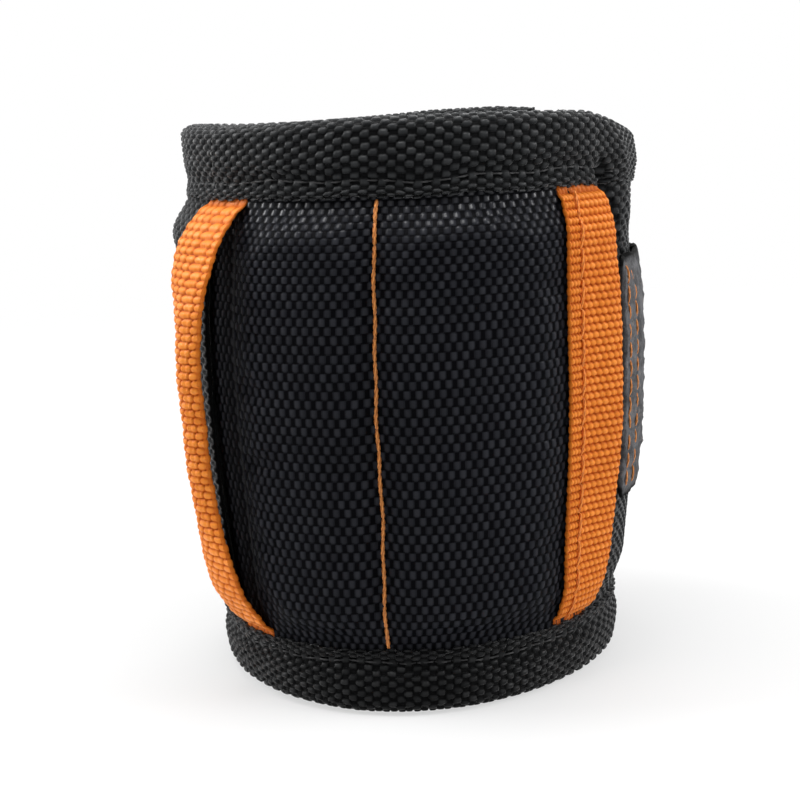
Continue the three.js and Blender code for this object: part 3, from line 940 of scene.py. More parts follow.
print("rim drops by", min(RIM_DROPS), "to", max(RIM_DROPS), "mm")

# %% [markdown]
# ## Padded fields
# The rows of a field's tube go up the woven face and come down the plain back. On the face
# a yarn gets four to seven points; four are the fewest that still show a round bead.

# %% Tubes over the padding
BACK_STEP, BACK_FINE, BACK_EASE = 10.0, 1.2, 9.0
PANEL_TUCK = 1.4
BACK_GAP = 0.1
PACKED_FROM, PACKED_MORE = 58.0, 0.4
FILLED_PLACES = [(50.0, 8.0, 1.0), (-47.0, 9.0, 0.6)]
SEAM_FILL, FILL_FROM, FILL_REACH = 0.45, 70.0, 7.0
FINE_HEIGHTS = 4001


def filled(s):
    """How far the stuffing fills the valley of the upper binding, from 0 to 1."""
    return sum(most * np.exp(-(((s - at) / reach) ** 2)) for at, reach, most in FILLED_PLACES)


def back_rows(z_from, z_to):
    """Rows of a hidden back wall: close together near the seams, where it curves."""
    ease = BACK_EASE * np.sign(z_to - z_from)
    parts = (
        (z_from, z_from + ease, BACK_FINE),
        (z_from + ease, z_to - ease, BACK_STEP),
        (z_to - ease, z_to, BACK_FINE),
    )
    return np.concatenate([[z_from]] + [steps(*part)[1:] for part in parts])


def packed(z, more):
    """Heights as the picks count them: towards the upper seam the picks lie closer."""
    return z + more * np.maximum(0, z - PACKED_FROM) ** 2 / (2 * (HIGH_SEAM - PACKED_FROM))


def one_side(on_face):
    """How woven each row of a flat tube is: the rows of its face are, but not the first."""
    woven = np.where(on_face, 1.0, 0.0)
    woven[0] = woven[-1] = 0.0
    return woven


def field(name, s_from, s_to, face, cloth, points, more=0.0):
    """cloth is the pitch of its yarns and of its picks, its weave and its finish."""
    yarn, pick, weave, finish = cloth
    s_list = on_yarns(s_from, s_to, yarn, points[0])
    z_fine = np.linspace(LOW_SEAM - PANEL_TUCK, HIGH_SEAM + PANEL_TUCK, FINE_HEIGHTS)
    picks = packed(z_fine, more)
    z_face = np.interp(on_yarns(picks[0], picks[-1], pick, points[1]), picks, z_fine)
    z_list = np.concatenate([z_face, back_rows(z_face[-1], z_face[0])])
    s_grid, z_grid = np.meshgrid(s_list, z_list)
    on_face = np.arange(len(z_list)) < len(z_face)
    base = face(s_grid, z_grid)
    fill = SEAM_FILL * filled(s_grid) * smooth((z_grid - FILL_FROM) / FILL_REACH)
    level = np.where(on_face[:, None], base + CLOTH + fill, base - BACK_GAP)
    level[-1] = level[0]
    count, rows = s_grid / yarn, packed(z_grid, more) / pick
    return tube(name, laid(s_grid, z_grid, level), count, rows, weave, one_side(on_face), finish)


FRONT_LEFT, FRONT_RIGHT = -30.4, 36.1
PANEL_CLOTH = (PANEL_YARN, PANEL_PICK, PANEL_WEAVE, PANEL)
BINDING_CLOTH = (BINDING_YARN, BINDING_PICK, BINDING_WEAVE, BINDING)
FILLS = {"front_field_left": (FRONT_LEFT, 0.0), "front_field_right": (0.0, FRONT_RIGHT)}
for name, (low, high) in FILLS.items():
    piece = field(name, low, high, slack_face, PANEL_CLOTH, (4, 7), PACKED_MORE)
    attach(piece, "front")
    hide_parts("front_panel")

# %% [markdown]
# ## The wings
# The wings carry the same padding round the wrist, under the coarse cloth of the bindings.

# %% Wing fields
BLEND_BEFORE, BLEND_AFTER = 3.0, 2.4
HEM = 1.5
WINGS = {
    "right_wing": {"fold": RIGHT_FOLD, "end": RIGHT_END, "from": FRONT_RIGHT, "points": (6, 4)},
    "left_wing": {"fold": LEFT_FOLD, "end": LEFT_END, "from": FRONT_LEFT, "points": (4, 4)},
}
MID_HEIGHT = (LOW_SEAM + HIGH_SEAM) / 2


def bend_at_fold(piece, wing):
    """Bakes the piece's placing into its mesh; the piece is not bent at the fold.
    """
    fold, seam = WINGS[wing]["fold"], WINGS[wing]["from"]
    sign = np.sign(fold)
    start = on_cuff(fold - sign * BLEND_BEFORE, MID_HEIGHT, 0.0) * MM
    end = on_cuff(fold + sign * BLEND_AFTER, MID_HEIGHT, 0.0) * MM
    lean = on_cuff(seam, HEIGHT, 0.0) - on_cuff(seam, 0.0, 0.0)
    end[2] -= np.dot((end - start)[:2], lean[:2]) / lean[2]
    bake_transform(piece)


def move_with(piece, body):
    """A piece of the front rides on it, and one of a wing only has its placing baked into its mesh.
    """
    if body == "front":
        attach(piece, "front")
    else:
        bend_at_fold(piece, body)


def wing_level(wing):
    """The level of a wing's padding, as a function of the place."""
    return lambda s, z: wing_face(s, z, WINGS[wing]["fold"], WINGS[wing]["end"])


for wing, facts in WINGS.items():
    low, high = sorted((facts["from"], facts["end"] - np.sign(facts["fold"]) * HEM))
    level_of = wing_level(wing)
    piece = field(wing + "_field", low, high, level_of, BINDING_CLOTH, facts["points"])
    bend_at_fold(piece, wing)
    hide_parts(wing + "_panel")

# %% [markdown]
# ## Bindings
# A binding is a tape folded over the edge and sewn through. It is thick, so it stands proud
# like a small tyre and is pinched at its seam. Its cross section is traced once as a
# curve, measured along its length, and the yarns are laid out by that length.

# %% The cross section of a binding
TAPE = 1.2
TAPE_INNER = SEAM + CLOTH + GAP
TAPE_OUTER = TAPE_INNER + TAPE
SEAM_PINCH, PINCH_FROM, TOP_ROUND = 0.55, 0.68, 1.7
HIDDEN_LEVEL = 0.45
VALLEY = 0.78
# Each pair is a share of the way down from the fold and the share of the thickness there.
FACE_START, FACE_END = [[0, 1], [0.4, 1]], [[0.94, 0.73], [1, 0.61]]
OUTER_FACE = FACE_START + [[0.58, 0.93], [0.7, 0.69], [VALLEY, 0.57], [0.86, 0.67]] + FACE_END
FULL_FACE = FACE_START + [[0.58, 0.95], [0.7, 0.88], [VALLEY, 0.83], [0.86, 0.78]] + FACE_END
SQUEEZED, SQUEEZE_FROM = 0.62, 0.72
SECTION_POINTS = 401


def follow(shares, along):
    """A smooth curve through a table of pairs."""
    at, value = np.array(shares, float).T
    k = np.clip(np.searchsorted(at, along, side="left") - 1, 0, len(at) - 2)
    span = at[k + 1] - at[k]
    t = np.clip((along - at[k]) / span, 0, 1)
    before, after = np.maximum(k - 1, 0), np.minimum(k + 2, len(at) - 1)
    rise_now = value[k + 1] - value[k]
    m0 = np.where(k > 0, (value[k + 1] - value[before]) / (at[k + 1] - at[before]) * span, rise_now)
    m1 = np.where(k < len(at) - 2, (value[after] - value[k]) / (at[after] - at[k]) * span, rise_now)
    a, b = 2 * t**3 - 3 * t**2 + 1, t**3 - 2 * t**2 + t
    return a * value[k] + b * m0 + (1 - a) * value[k + 1] + (t**3 - t**2) * m1


def section(height):
    """The way from the fold and the distance out, from the inner seam round to the outer."""
    t = np.linspace(-1, 1, SECTION_POINTS)
    share = np.abs(t) ** 1.5
    round_top = np.sqrt(np.clip(1 - (1 - np.clip(height * share / TOP_ROUND, 0, 1)) ** 2, 0, 1))
    pinch = 1 - (1 - SEAM_PINCH) * smooth((share - PINCH_FROM) / (1 - PINCH_FROM))
    face = np.where(t > 0, follow(OUTER_FACE, share), pinch)
    return height * share, np.sign(t) * TAPE_OUTER * round_top * face


def section_rows(height, pick, outer_points, inner_points):
    """Rows of the section: up, out, the yarn count round it, and how woven each row is."""
    up, out = section(height)
    way = np.hypot(np.diff(up), np.diff(out))
    near_seam = smooth((up / height - SQUEEZE_FROM) / (1 - SQUEEZE_FROM)) * (out > 0)
    pitch = pick * (1 - (1 - SQUEEZED) * near_seam)
    count = np.concatenate([[0], np.cumsum(way / (pitch[1:] + pitch[:-1]) * 2)])
    count = count - count[len(count) // 2]
    inner = on_yarns(count[0], 0.0, 1.0, inner_points)
    outer = on_yarns(0.0, count[-1], 1.0, outer_points)[1:]
    rows = np.concatenate([inner, outer])
    back_up = np.array([1, 0.5, 0, 0, 0.5, 1]) * height
    back_up[2:4] = TAPE + GAP
    back_out = HIDDEN_LEVEL * np.array([1, 1, 1, -1, -1, -1])
    up_list = np.concatenate([np.interp(rows, count, up), back_up])
    out_list = np.concatenate([np.interp(rows, count, out), back_out])
    counts = np.concatenate([rows, np.full(6, 0.5)])
    woven = np.concatenate([np.ones(len(rows)), np.zeros(6)])
    return [np.concatenate([a, a[:1]]) for a in (up_list, out_list, counts, woven)]


print("tape", TAPE, "mm thick, its picks squeezed to", SQUEEZED, "at the seam")

# %% Bindings along the two edges
BINDING_WAVE, VALLEY_WAVE, VALLEY_REACH = 0.22, 0.5, 0.17
THICK_WAVE = 0.05
END_ROUND, END_KEPT = 1.8, 0.35


def seam_shift(s, z, edge, height):
    """How far a sewn row strays up or down: at the seam, and in the valley beside it."""
    share = np.abs(z - edge) / height
    in_valley = np.exp(-(((share - VALLEY) / VALLEY_REACH) ** 2))
    stray = ripple(s, VALLEY_WAVE, 43.0, edge + 2.0) * in_valley
    return ripple(s, BINDING_WAVE, 17.0, edge + 1.0) * share**2 + stray - rim_drop(s, z)


def end_thickness(s):
    """The share of its thickness that a binding keeps as it nears the free end of a wing."""
    room = np.minimum(s - LEFT_END, RIGHT_END - s)
    return END_KEPT + (1 - END_KEPT) * np.sqrt(1 - (1 - np.clip(room / END_ROUND, 0, 1)) ** 2)


def edge_binding(name, s_from, s_to, edge, sign, height, points):
    s_list = on_yarns(s_from, s_to, BINDING_YARN, points)
    up, out, counts, woven = section_rows(height, BINDING_PICK if sign < 0 else LOW_PICK, 5, 3)
    z_list = edge + sign * up
    if sign < 0:
        z_list, out, counts, woven = (a[::-1] for a in (z_list, out, counts, woven))
    s_grid, z_grid = np.meshgrid(s_list, z_list)
    fat = 1 + ripple(s_grid, THICK_WAVE, 31.0, edge) * woven[:, None]
    z_moved = z_grid + seam_shift(s_grid, z_grid, edge, height)
    level = out[:, None] + 0 * s_grid
    if sign < 0:
        share = np.abs(z_list - edge) / height
        rise = TAPE_OUTER * (follow(FULL_FACE, share) - follow(OUTER_FACE, share))
        level = level + (rise * (counts > 0) * woven)[:, None] * filled(s_grid)
    points_grid = laid(s_grid, z_moved, level * fat * end_thickness(s_grid))
    count = s_grid / BINDING_YARN
    return tube(name, points_grid, count, counts[:, None], BINDING_WEAVE, woven, BINDING)


EDGES = {"top": (HEIGHT, -1, HEIGHT - HIGH_SEAM), "bottom": (0.0, 1, LOW_SEAM)}
SPANS = {
    "front": (FRONT_LEFT, FRONT_RIGHT),
    "right_wing": (FRONT_RIGHT, RIGHT_END),
    "left_wing": (LEFT_END, FRONT_LEFT),
}
for body, (low, high) in SPANS.items():
    for edge_name, (edge, sign, height) in EDGES.items():
        node = body + "_" + edge_name + "_binding"
        points = 4 if body == "left_wing" else 6
        piece = edge_binding(node + "_cloth", low, high, edge, sign, height, points)
        move_with(piece, body)
        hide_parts(node)

# %% [markdown]
# ## End bindings
# The same tape closes the free ends of the wings, from the lower seam to the upper one.
# The section is the same, only it now lies along the band and is carried up it.

# %% Bindings over the wing ends
END_ROOM = 0.3


def end_binding(name, end, sign):
    """sign is 1 where the band comes to its end with growing s."""
    z_list = on_yarns(LOW_SEAM + END_ROOM, HIGH_SEAM - END_ROOM, BINDING_YARN, 4)
    up, out, counts, woven = section_rows(END_BINDING - END_ROOM, BINDING_PICK, 4, 3)
    s_list = end - sign * up
    if sign > 0:
        s_list, out, counts, woven = (a[::-1] for a in (s_list, out, counts, woven))
    z_grid, s_grid = np.meshgrid(z_list[::-1], s_list)
    level = out[:, None] * (1 + ripple(z_grid, THICK_WAVE, 23.0, end))
    points_grid = laid(s_grid, z_grid, level)
    count = z_grid / BINDING_YARN
    return tube(name, points_grid, count, counts[:, None], BINDING_WEAVE, woven, BINDING)


for wing, facts in WINGS.items():
    node = wing + "_end_binding"
    piece = end_binding(node + "_cloth", facts["end"], np.sign(facts["fold"]))
    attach(piece, wing)
    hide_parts(node)

# %% [markdown]
# ## Webbings
# The two bright webbings are thick tape, sewn down at their ends. The right one is also
# sewn along its inner edge and lifts at the other. The left one is a loop that stands off
# and curls lengthwise, because only its ends are held. A table gives the height of the
# loop, and a second one how strongly it curls.

# %% The webbing's own weave
WEBBING_WIDTH, WEBBING_THICK = 10.0, 1.0
BEAD, ROW = 1.03, 1.17
CHAIN, CHAIN_BEAD = 2.1, 0.7
GROOVE_AT, GROOVE_WIDTH, GROOVE_DEPTH = 2.45, 0.35, 0.3
WEBBING_WEAVE = brick_weave(0.42, 0.6, 0.48, slant=0.3)
LOOSE_WEAVE = brick_weave(0.42, 0.52, 0.5, offset=0.3, slant=0.12, power=4.0)
CHAIN_COUNT = CHAIN / CHAIN_BEAD
# Each pair is a place across the webbing and the count of beads up to it.
CORD_BEADS = [
    [0, 0],
    [CHAIN, CHAIN_COUNT],
    [WEBBING_WIDTH, CHAIN_COUNT + (WEBBING_WIDTH - CHAIN) / BEAD],
]
LOOSE_BEADS = [[0, 0], [1.6, 1], [4.7, 2], [6.5, 3], [8.3, 4], [10.0, 5]]
WEBBING_TUCK, TUCK_DROP, TUCK_REACH = 0.8, 1.2, 2.0
EDGE_BULGE, EDGE_POINTS, FACE_POINTS, BACK_POINTS = 0.2, 5, 7, 3


def webbing(name, lay, groove, beads, row, weave):
    """lay(q, z) gives s and the level of the underside at share q of the width."""
    z_list = steps(LOW_SEAM - WEBBING_TUCK, HIGH_SEAM + WEBBING_TUCK, row / FACE_POINTS)
    half = steps(0, 1, BEAD / FACE_POINTS / WEBBING_WIDTH)
    edge = np.linspace(0.15, 0.85, EDGE_POINTS)
    back = steps(1, 0, BEAD / BACK_POINTS / WEBBING_WIDTH)
    q_list = np.concatenate([half, 1 + 0 * edge, back, 0 * edge, [0.0]])
    top = np.concatenate([np.ones(len(half)), 1 - edge, np.zeros(len(back)), edge, [1.0]])
    x = q_list * WEBBING_WIDTH
    weights = ((len(half), 1.0), (EDGE_POINTS, 0.3), (len(back), 0.5), (EDGE_POINTS + 1, 0.3))
    woven = np.concatenate([np.full(many, share) for many, share in weights])
    z_grid, q_grid = np.meshgrid(z_list[::-1], q_list)
    s_grid, under = lay(q_grid, z_grid)
    bow = np.where(q_grid > 0.5, 1.0, -1.0) * np.sin(np.pi * top)[:, None] * EDGE_BULGE
    bow = np.where((q_grid > 0.001) & (q_grid < 0.999), 0.0, bow)
    inner_edge, outer_edge = lay(np.array([0.0, 1.0]), np.full(2, MID_HEIGHT))[0]
    direction = np.sign(outer_edge - inner_edge)
    near = np.exp(-(((x - GROOVE_AT) / GROOVE_WIDTH) ** 2)) * (top > 0.9)
    level = under + top[:, None] * WEBBING_THICK - groove * GROOVE_DEPTH * near[:, None]
    to_seam = np.minimum(z_grid - LOW_SEAM, HIGH_SEAM - z_grid)
    level = level - TUCK_DROP * (1 - smooth(to_seam / TUCK_REACH))
    points_grid = laid(s_grid + bow * direction, z_grid, level)
    rows, count = z_grid / row, np.interp(x, *np.array(beads).T)
    if direction < 0:
        points_grid, rows, count, woven = (a[::-1] for a in (points_grid, rows, count, woven))
    return tube(name, points_grid, count[:, None], rows, weave, woven, WEBBING)


print("webbing weave ready")

# %% The right webbing
RIGHT_SHARES = [[0, 0], [0.2, 0.6], [0.5, 1], [0.8, 0.7], [1, 0]]
RIGHT_LIFT, SEWN_WIDTH = 2.0, 3.0
FREE_EDGE_IN = [[0, 0.4], [0.1, 0.6], [0.3, 0.85], [0.5, 0.9], [0.7, 0.7], [0.88, 0.35], [1, 0.1]]
SEWN_EDGE_IN = [[0, 1.2], [0.07, 0.7], [0.2, 0.1], [0.4, 0], [1, 0]]


def share_up(z):
    return np.clip((z - LOW_SEAM - END_ROOM) / (FIELD_HEIGHT - 2 * END_ROOM), 0, 1)


def lay_right(q, z):
    up = share_up(z)
    s = RIGHT_FIELD + WEBBING_WIDTH * q + follow(SEWN_EDGE_IN, up) * (1 - q)
    s = s - follow(FREE_EDGE_IN, up) * q
    free = smooth((s - RIGHT_FIELD - SEWN_WIDTH) / (WEBBING_WIDTH - SEWN_WIDTH))
    lift = RIGHT_LIFT * free * follow(RIGHT_SHARES, up)
    return s, front_swell(s, z) + CLOTH + GAP + lift + ripple(z, 0.12, 19.0, 1.0) * free


piece = webbing("right_webbing_cloth", lay_right, 1.0, CORD_BEADS, ROW, WEBBING_WEAVE)
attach(piece, "front")
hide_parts("right_webbing_loop")

# %% The left webbing
LEFT_SHARES = [[0, 0], [0.05, 0.17], [0.14, 0.56], [0.3, 0.85], [0.5, 0.96]]
LEFT_SHARES += [[0.7, 1], [0.83, 0.88], [0.93, 0.46], [1, 0]]
LEFT_LIFT, LEFT_TWIST = 5.5, 0.78
CURL_SHARES = [[0, 0], [0.1, 0.1], [0.19, 0.35], [0.31, 1]]
CURL_SHARES += [[0.66, 1], [0.74, 0.68], [0.85, 0.02], [1, 0]]
CURL_INNER, CURL_OUTER = 1.9, 1.3
CURL_BACK, CURL_IN, CURL_BULGE, CURL_DROP = 1.6, 0.9, 1.0, 0.7


def lay_left(q, z):
    share, curl = follow(LEFT_SHARES, share_up(z)), follow(CURL_SHARES, share_up(z))
    s = -LEFT_FIELD - WEBBING_WIDTH * q - CURL_INNER * curl * (1 - q) + CURL_OUTER * curl * q
    lift = LEFT_LIFT * (1 - (1 - LEFT_TWIST) * q) * share
    bend = CURL_BULGE * np.sin(np.pi * q) - CURL_BACK * q**4
    bend = bend - CURL_IN * (1 - q) ** 4 - CURL_DROP * q
    waves = ripple(z, 0.15, 13.0, 2.0) * share
    return s, front_swell(s, z) + CLOTH + GAP + lift + bend * curl + waves


piece = webbing("left_webbing_cloth", lay_left, 0.4, LOOSE_BEADS, ROW, LOOSE_WEAVE)
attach(piece, "front")
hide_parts("left_webbing_loop")

# %% [markdown]
# ## Threads
# A sewing thread is two strands twisted together. It shows as short stitches: each rises
# out of the cloth, runs along it and goes in again. So a thread is one long tube whose
# middle line dips at each needle hole, and whose section is two lobes that turn as it goes.

# %% The thread maker
RING = 12
LOBE, TWIST = 0.22, 1.9
STITCH_POINTS, ROW_POINTS = 22, 240
THIN = 0.72


def thread(name, row, radius, stitch, finish, dip, arch, slant=0.0):
    """row is the middle line of the stitches, with its side and outward directions."""
    line = row[0]
    way = np.concatenate([[0], np.cumsum(np.linalg.norm(np.diff(line, axis=0), axis=1))])
    count = max(1, round(way[-1] / stitch))
    fine = np.linspace(0, way[-1], count * STITCH_POINTS + 1)
    line, side, out = (
        np.stack([np.interp(fine, way, part[:, k]) for k in range(3)], -1) for part in row
    )
    share = (fine / way[-1] * count) % 1.0
    share[-1] = 1.0
    bow = np.sqrt(np.maximum(0, np.sin(np.pi * share)))
    height = (arch + dip) * bow - dip
    middle = line + out * height[:, None] + side * (slant * (share - 0.5))[:, None]
    angle = np.linspace(0, TURN, RING + 1)
    turn = TURN * fine / TWIST
    lobes = 1 - LOBE + 2 * LOBE * np.abs(np.cos(angle[:, None] - turn[None, :]))
    size = (radius * (THIN + (1 - THIN) * bow))[None, :] * lobes
    ring = np.cos(angle)[:, None, None] * side[None] + np.sin(angle)[:, None, None] * out[None]
    points = middle[None] + size[..., None] * ring
    points[-1] = points[0]
    if np.dot(np.cross(side[0], out[0]), line[-1] - line[0]) > 0:
        points = points[::-1]
    return rolled(name, points, (angle / TURN)[:, None], fine[None, :] / TWIST, finish)


def stance(s, z, level, ds=0.5, dz=0.0):
    """Places on the band, the direction in which (ds, dz) points there, and the way out."""
    line = laid(s, z, level)
    side = laid(s + ds, z + dz, level) - laid(s - ds, z - dz, level)
    return line, unit(side), unit(laid(s, z, level + 1) - line)


def row_up(s_of, z_from, z_to, level_of):
    """An upright row of stitches."""
    z = np.linspace(z_from, z_to, ROW_POINTS)
    s = s_of(z)
    return stance(s, z, level_of(s, z))


def row_along(s_from, s_to, z_at, level):
    """A row of stitches along the band."""
    s = np.linspace(s_from, s_to, round(abs(s_to - s_from) * 2))
    return stance(s, z_at(s), level, 0.0, 0.5)


print("thread maker ready")

# %% Dark threads through the bindings
SEAM_STITCH, SEAM_RADIUS, THREAD_INSET, THREAD_GAP, THREAD_SUNK = 2.7, 0.15, 1.7, 0.6, 0.26
SEAM_LEVEL = TAPE_OUTER * float(follow(OUTER_FACE, np.array([VALLEY]))[0]) - THREAD_SUNK
for body, (low, high) in SPANS.items():
    start = max(low + THREAD_GAP, LEFT_END + THREAD_INSET)
    stop = min(high - THREAD_GAP, RIGHT_END - THREAD_INSET)
    for edge_name, (edge, sign, height) in EDGES.items():
        at = edge + sign * height * VALLEY
        row = row_along(start, stop, lambda s: at + seam_shift(s, at, edge, height), SEAM_LEVEL)
        name = body + "_" + edge_name + "_thread"
        piece = thread(name, row, SEAM_RADIUS, SEAM_STITCH, DARK_THREAD, dip=0.3, arch=0.15)
        move_with(piece, body)

# %% The centre thread and the thread of the right webbing
CENTRE_STITCH, CENTRE_RADIUS, CENTRE_ROOM, CENTRE_OVER = 3.4, 0.27, 0.2, 0.05
WEBBING_STITCH, WEBBING_RADIUS, WEBBING_ROOM, WEBBING_SUNK = 4.5, 0.21, 0.6, 0.1
row = row_up(
    lambda z: ripple(z, 0.2, 27.0, 0.6),
    LOW_SEAM + CENTRE_ROOM,
    HIGH_SEAM - CENTRE_ROOM,
    lambda s, z: slack_face(0 * s, z) + CLOTH + CENTRE_OVER,
)
piece = thread("centre_thread", row, CENTRE_RADIUS, CENTRE_STITCH, THREAD, dip=0.14, arch=0.1)
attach(piece, "front")
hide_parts("centre_stitch")


def along_groove(z):
    return lay_right(GROOVE_AT / WEBBING_WIDTH + 0 * z, z)


row = row_up(
    lambda z: along_groove(z)[0],
    LOW_SEAM + WEBBING_ROOM,
    HIGH_SEAM - WEBBING_ROOM,
    lambda s, z: along_groove(z)[1] + WEBBING_THICK - WEBBING_SUNK,
)
drawn = {"dip": 0.35, "arch": 0.12, "slant": 0.35}
piece = thread("webbing_thread", row, WEBBING_RADIUS, WEBBING_STITCH, BRIGHT_THREAD, **drawn)
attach(piece, "front")
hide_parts("right_webbing_stitch")

# %% [markdown]
# ## The strap
# The closing strap is brushed cloth. It is sewn to the right wing and goes on as a free
# tongue over the other wing. It is made as one long tube with round corners, and its
# surface is roughened by seeded noise, so that its edge looks soft.

# %% Level and outline of the strap
STRAP_START, STRAP_END, PEEL = 42.2, 130.2, 66.2
PEEL_BEFORE, PEEL_AFTER = 1.6, 1.8
STRAP_LOW, STRAP_HIGH = 28.0, 66.0
STRAP_THICK = 0.9
LOOP_LEVEL, HOOK_LEVEL, STRAP_LEVEL = 3.1, 4.2, 5.3
RAMP, TONGUE_ROUND, START_ROUND = 14.0, 7.0, 1.2


def strap_level(s):
    return LOOP_LEVEL + (STRAP_LEVEL - LOOP_LEVEL) * smooth((s - RIGHT_END) / RAMP)


def corner(distance, radius):
    """How far a round corner cuts in, at a distance from the end."""
    past = np.clip(radius - distance, 0, radius)
    return radius - np.sqrt(np.maximum(0, radius**2 - past**2))


def felt(shape, seed, smoothing):
    """Seeded noise of about unit size, smoothed over a few cells."""
    noise = np.random.default_rng(seed).normal(size=shape)
    for _ in range(smoothing):
        moved = (np.roll(noise, way, axis) for axis in (0, 1) for way in (1, -1))
        noise = sum(moved, noise) / 5
    return noise / noise.std()


print("strap", STRAP_END - STRAP_START, "mm long")

# %% Soft slabs
SLAB_STEP, CUT_REACH = 0.6, 0.5
EDGE_THIN, EDGE_REACH = 0.3, 0.8


def slab(name, s_span, z_span, under_of, thick, rounds, finish, rough, seed=1, waves=0.0):
    """A flat cloth with soft edges; rounds are the corner radii at its two ends."""
    (s_from, s_to), (low, high) = s_span, z_span
    s_list = steps(s_from, s_to, SLAB_STEP)
    face = steps(0, 1, SLAB_STEP / (high - low))
    rim = np.array([0.85, 0.5, 0.15])
    share = np.concatenate([face, np.ones(3), face[::-1], np.zeros(3), [0.0]])
    top = np.concatenate([np.ones(len(face)), rim, np.zeros(len(face)), rim[::-1], [1.0]])
    from_edge = np.minimum(share, 1 - share) * (high - low)
    cut_in = corner(s_list - s_from, rounds[0]) + corner(s_to - s_list, rounds[1])
    bow = 0.5 * thick * np.sin(np.pi * top) * np.where(share > 0.5, 1, -1)
    soft = 1 - EDGE_THIN * np.exp(-from_edge / EDGE_REACH)
    s_grid, share_grid = np.meshgrid(s_list, share)
    z_grid = low + cut_in + (high - low - 2 * cut_in) * share_grid + bow[:, None]
    level = under_of(s_grid) + thick / 2 + (top[:, None] - 0.5) * thick * soft[:, None]
    level[:-1] += felt(level[:-1].shape, seed, 1) * rough
    sway = felt((1, len(s_list)), seed + 1, 9) * waves
    level += sway * np.where(share > 0.5, share * 2 - 1, 0)[:, None] ** 2
    fray = felt((1, len(s_list)), seed + 2, 2) * waves * 0.5
    z_grid = z_grid + fray * (2 * share - 1)[:, None] ** 4
    level[-1] = level[0]
    cut = np.clip(np.exp(-from_edge / CUT_REACH), 0, 1)[:, None] + 0 * level
    points_grid = laid(s_grid, z_grid, level)
    return rolled(name, points_grid, s_grid / 2, z_grid / 2, finish, cut=cut)


strap_piece = slab(
    "strap_cloth",
    (STRAP_START, STRAP_END),
    (STRAP_LOW, STRAP_HIGH),
    strap_level,
    STRAP_THICK,
    (START_ROUND, TONGUE_ROUND),
    BRUSHED,
    rough=0.13,
    waves=0.22,
)
start = on_cuff(PEEL - PEEL_BEFORE, MID_HEIGHT, LOOP_LEVEL) * MM
end = on_cuff(PEEL + PEEL_AFTER, MID_HEIGHT, LOOP_LEVEL) * MM
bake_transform(strap_piece)
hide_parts("strap_base", "strap")

# %% Threads of the strap
STRAP_STITCHES = [43.8, 47.2, 64.6]
STRAP_STITCH, STRAP_RADIUS, STRAP_ROOM, STRAP_OVER = 3.1, 0.15, 1.2, 0.02
for number, place in enumerate(STRAP_STITCHES, 1):
    row = row_up(
        lambda z: place + ripple(z, 0.12, 15.0, place),
        STRAP_LOW + STRAP_ROOM,
        STRAP_HIGH - STRAP_ROOM,
        lambda s, z: strap_level(s) + STRAP_THICK + STRAP_OVER,
    )
    name = "strap_thread_" + str(number)
    piece = thread(name, row, STRAP_RADIUS, STRAP_STITCH, THREAD, dip=0.3, arch=0.1)
    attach(piece, "right_wing")
    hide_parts("strap_stitch_" + str(number))

# %% [markdown]
# ## Hooks and loops
# Under the tongue sits a patch of tiny hooks, and the other wing carries a field of loops.
# One hook and one loop are modelled, with a few dozen faces each, and set out in rows
# with a little seeded disorder, all in one mesh for each patch.

# %% One shape, many times
STRAY = 0.3


def repeated(name, model, frames, finish):
    """Copies the mesh of model to each frame, given as origins and three directions."""
    origin, right_of, ahead_of, up_of = (part[:, None] for part in frames)
    mesh = model.data
    flat = points_of(mesh) / MM
    faces = [list(p.vertices) for p in mesh.polygons]
    sizes = np.array([len(f) for f in faces])
    corners = np.concatenate([np.array(f) for f in faces])
    points = origin + flat[None, :, :1] * right_of
    points = points + flat[None, :, 1:2] * ahead_of + flat[None, :, 2:] * up_of
    many = len(origin)
    made = bpy.data.meshes.new(name)
    made.vertices.add(many * len(flat))
    made.vertices.foreach_set("co", (points * MM).astype(np.float32).ravel())
    shift = (np.arange(many) * len(flat))[:, None]
    made.loops.add(many * len(corners))
    made.loops.foreach_set("vertex_index", (corners[None] + shift).astype(np.int32).ravel())
    starts = np.concatenate([[0], np.cumsum(np.tile(sizes, many))[:-1]])
    made.polygons.add(many * len(faces))
    made.polygons.foreach_set("loop_start", starts.astype(np.int32))
    made.update(calc_edges=True)
    made.validate()
    piece = bpy.data.objects.new(name, made)
    bpy.context.collection.objects.link(piece)
    for polygon in made.polygons:
        polygon.use_smooth = True
    made.materials.append(finish)
    bpy.data.objects.remove(model)
    print(name, many, "times", len(faces), "faces")
    return piece


def half_ring(name, size, wire, keep):
    """A small ring of wire standing on edge, cut off below keep."""
    bpy.ops.object.select_all(action="DESELECT")
    bpy.ops.mesh.primitive_torus_add(
        major_segments=12,
        minor_segments=4,
        major_radius=size * MM,
        minor_radius=wire * MM,
        rotation=(math.pi / 2, 0, 0),
    )
    model = bpy.context.object
    model.name = name
    bpy.ops.object.transform_apply(location=True, rotation=True, scale=True)
    edit_all(model)
    bpy.ops.mesh.bisect(
        plane_co=(0, 0, keep * MM), plane_no=(0, 0, 1), use_fill=True, clear_inner=True
    )
    bpy.ops.object.mode_set(mode="OBJECT")
    return model


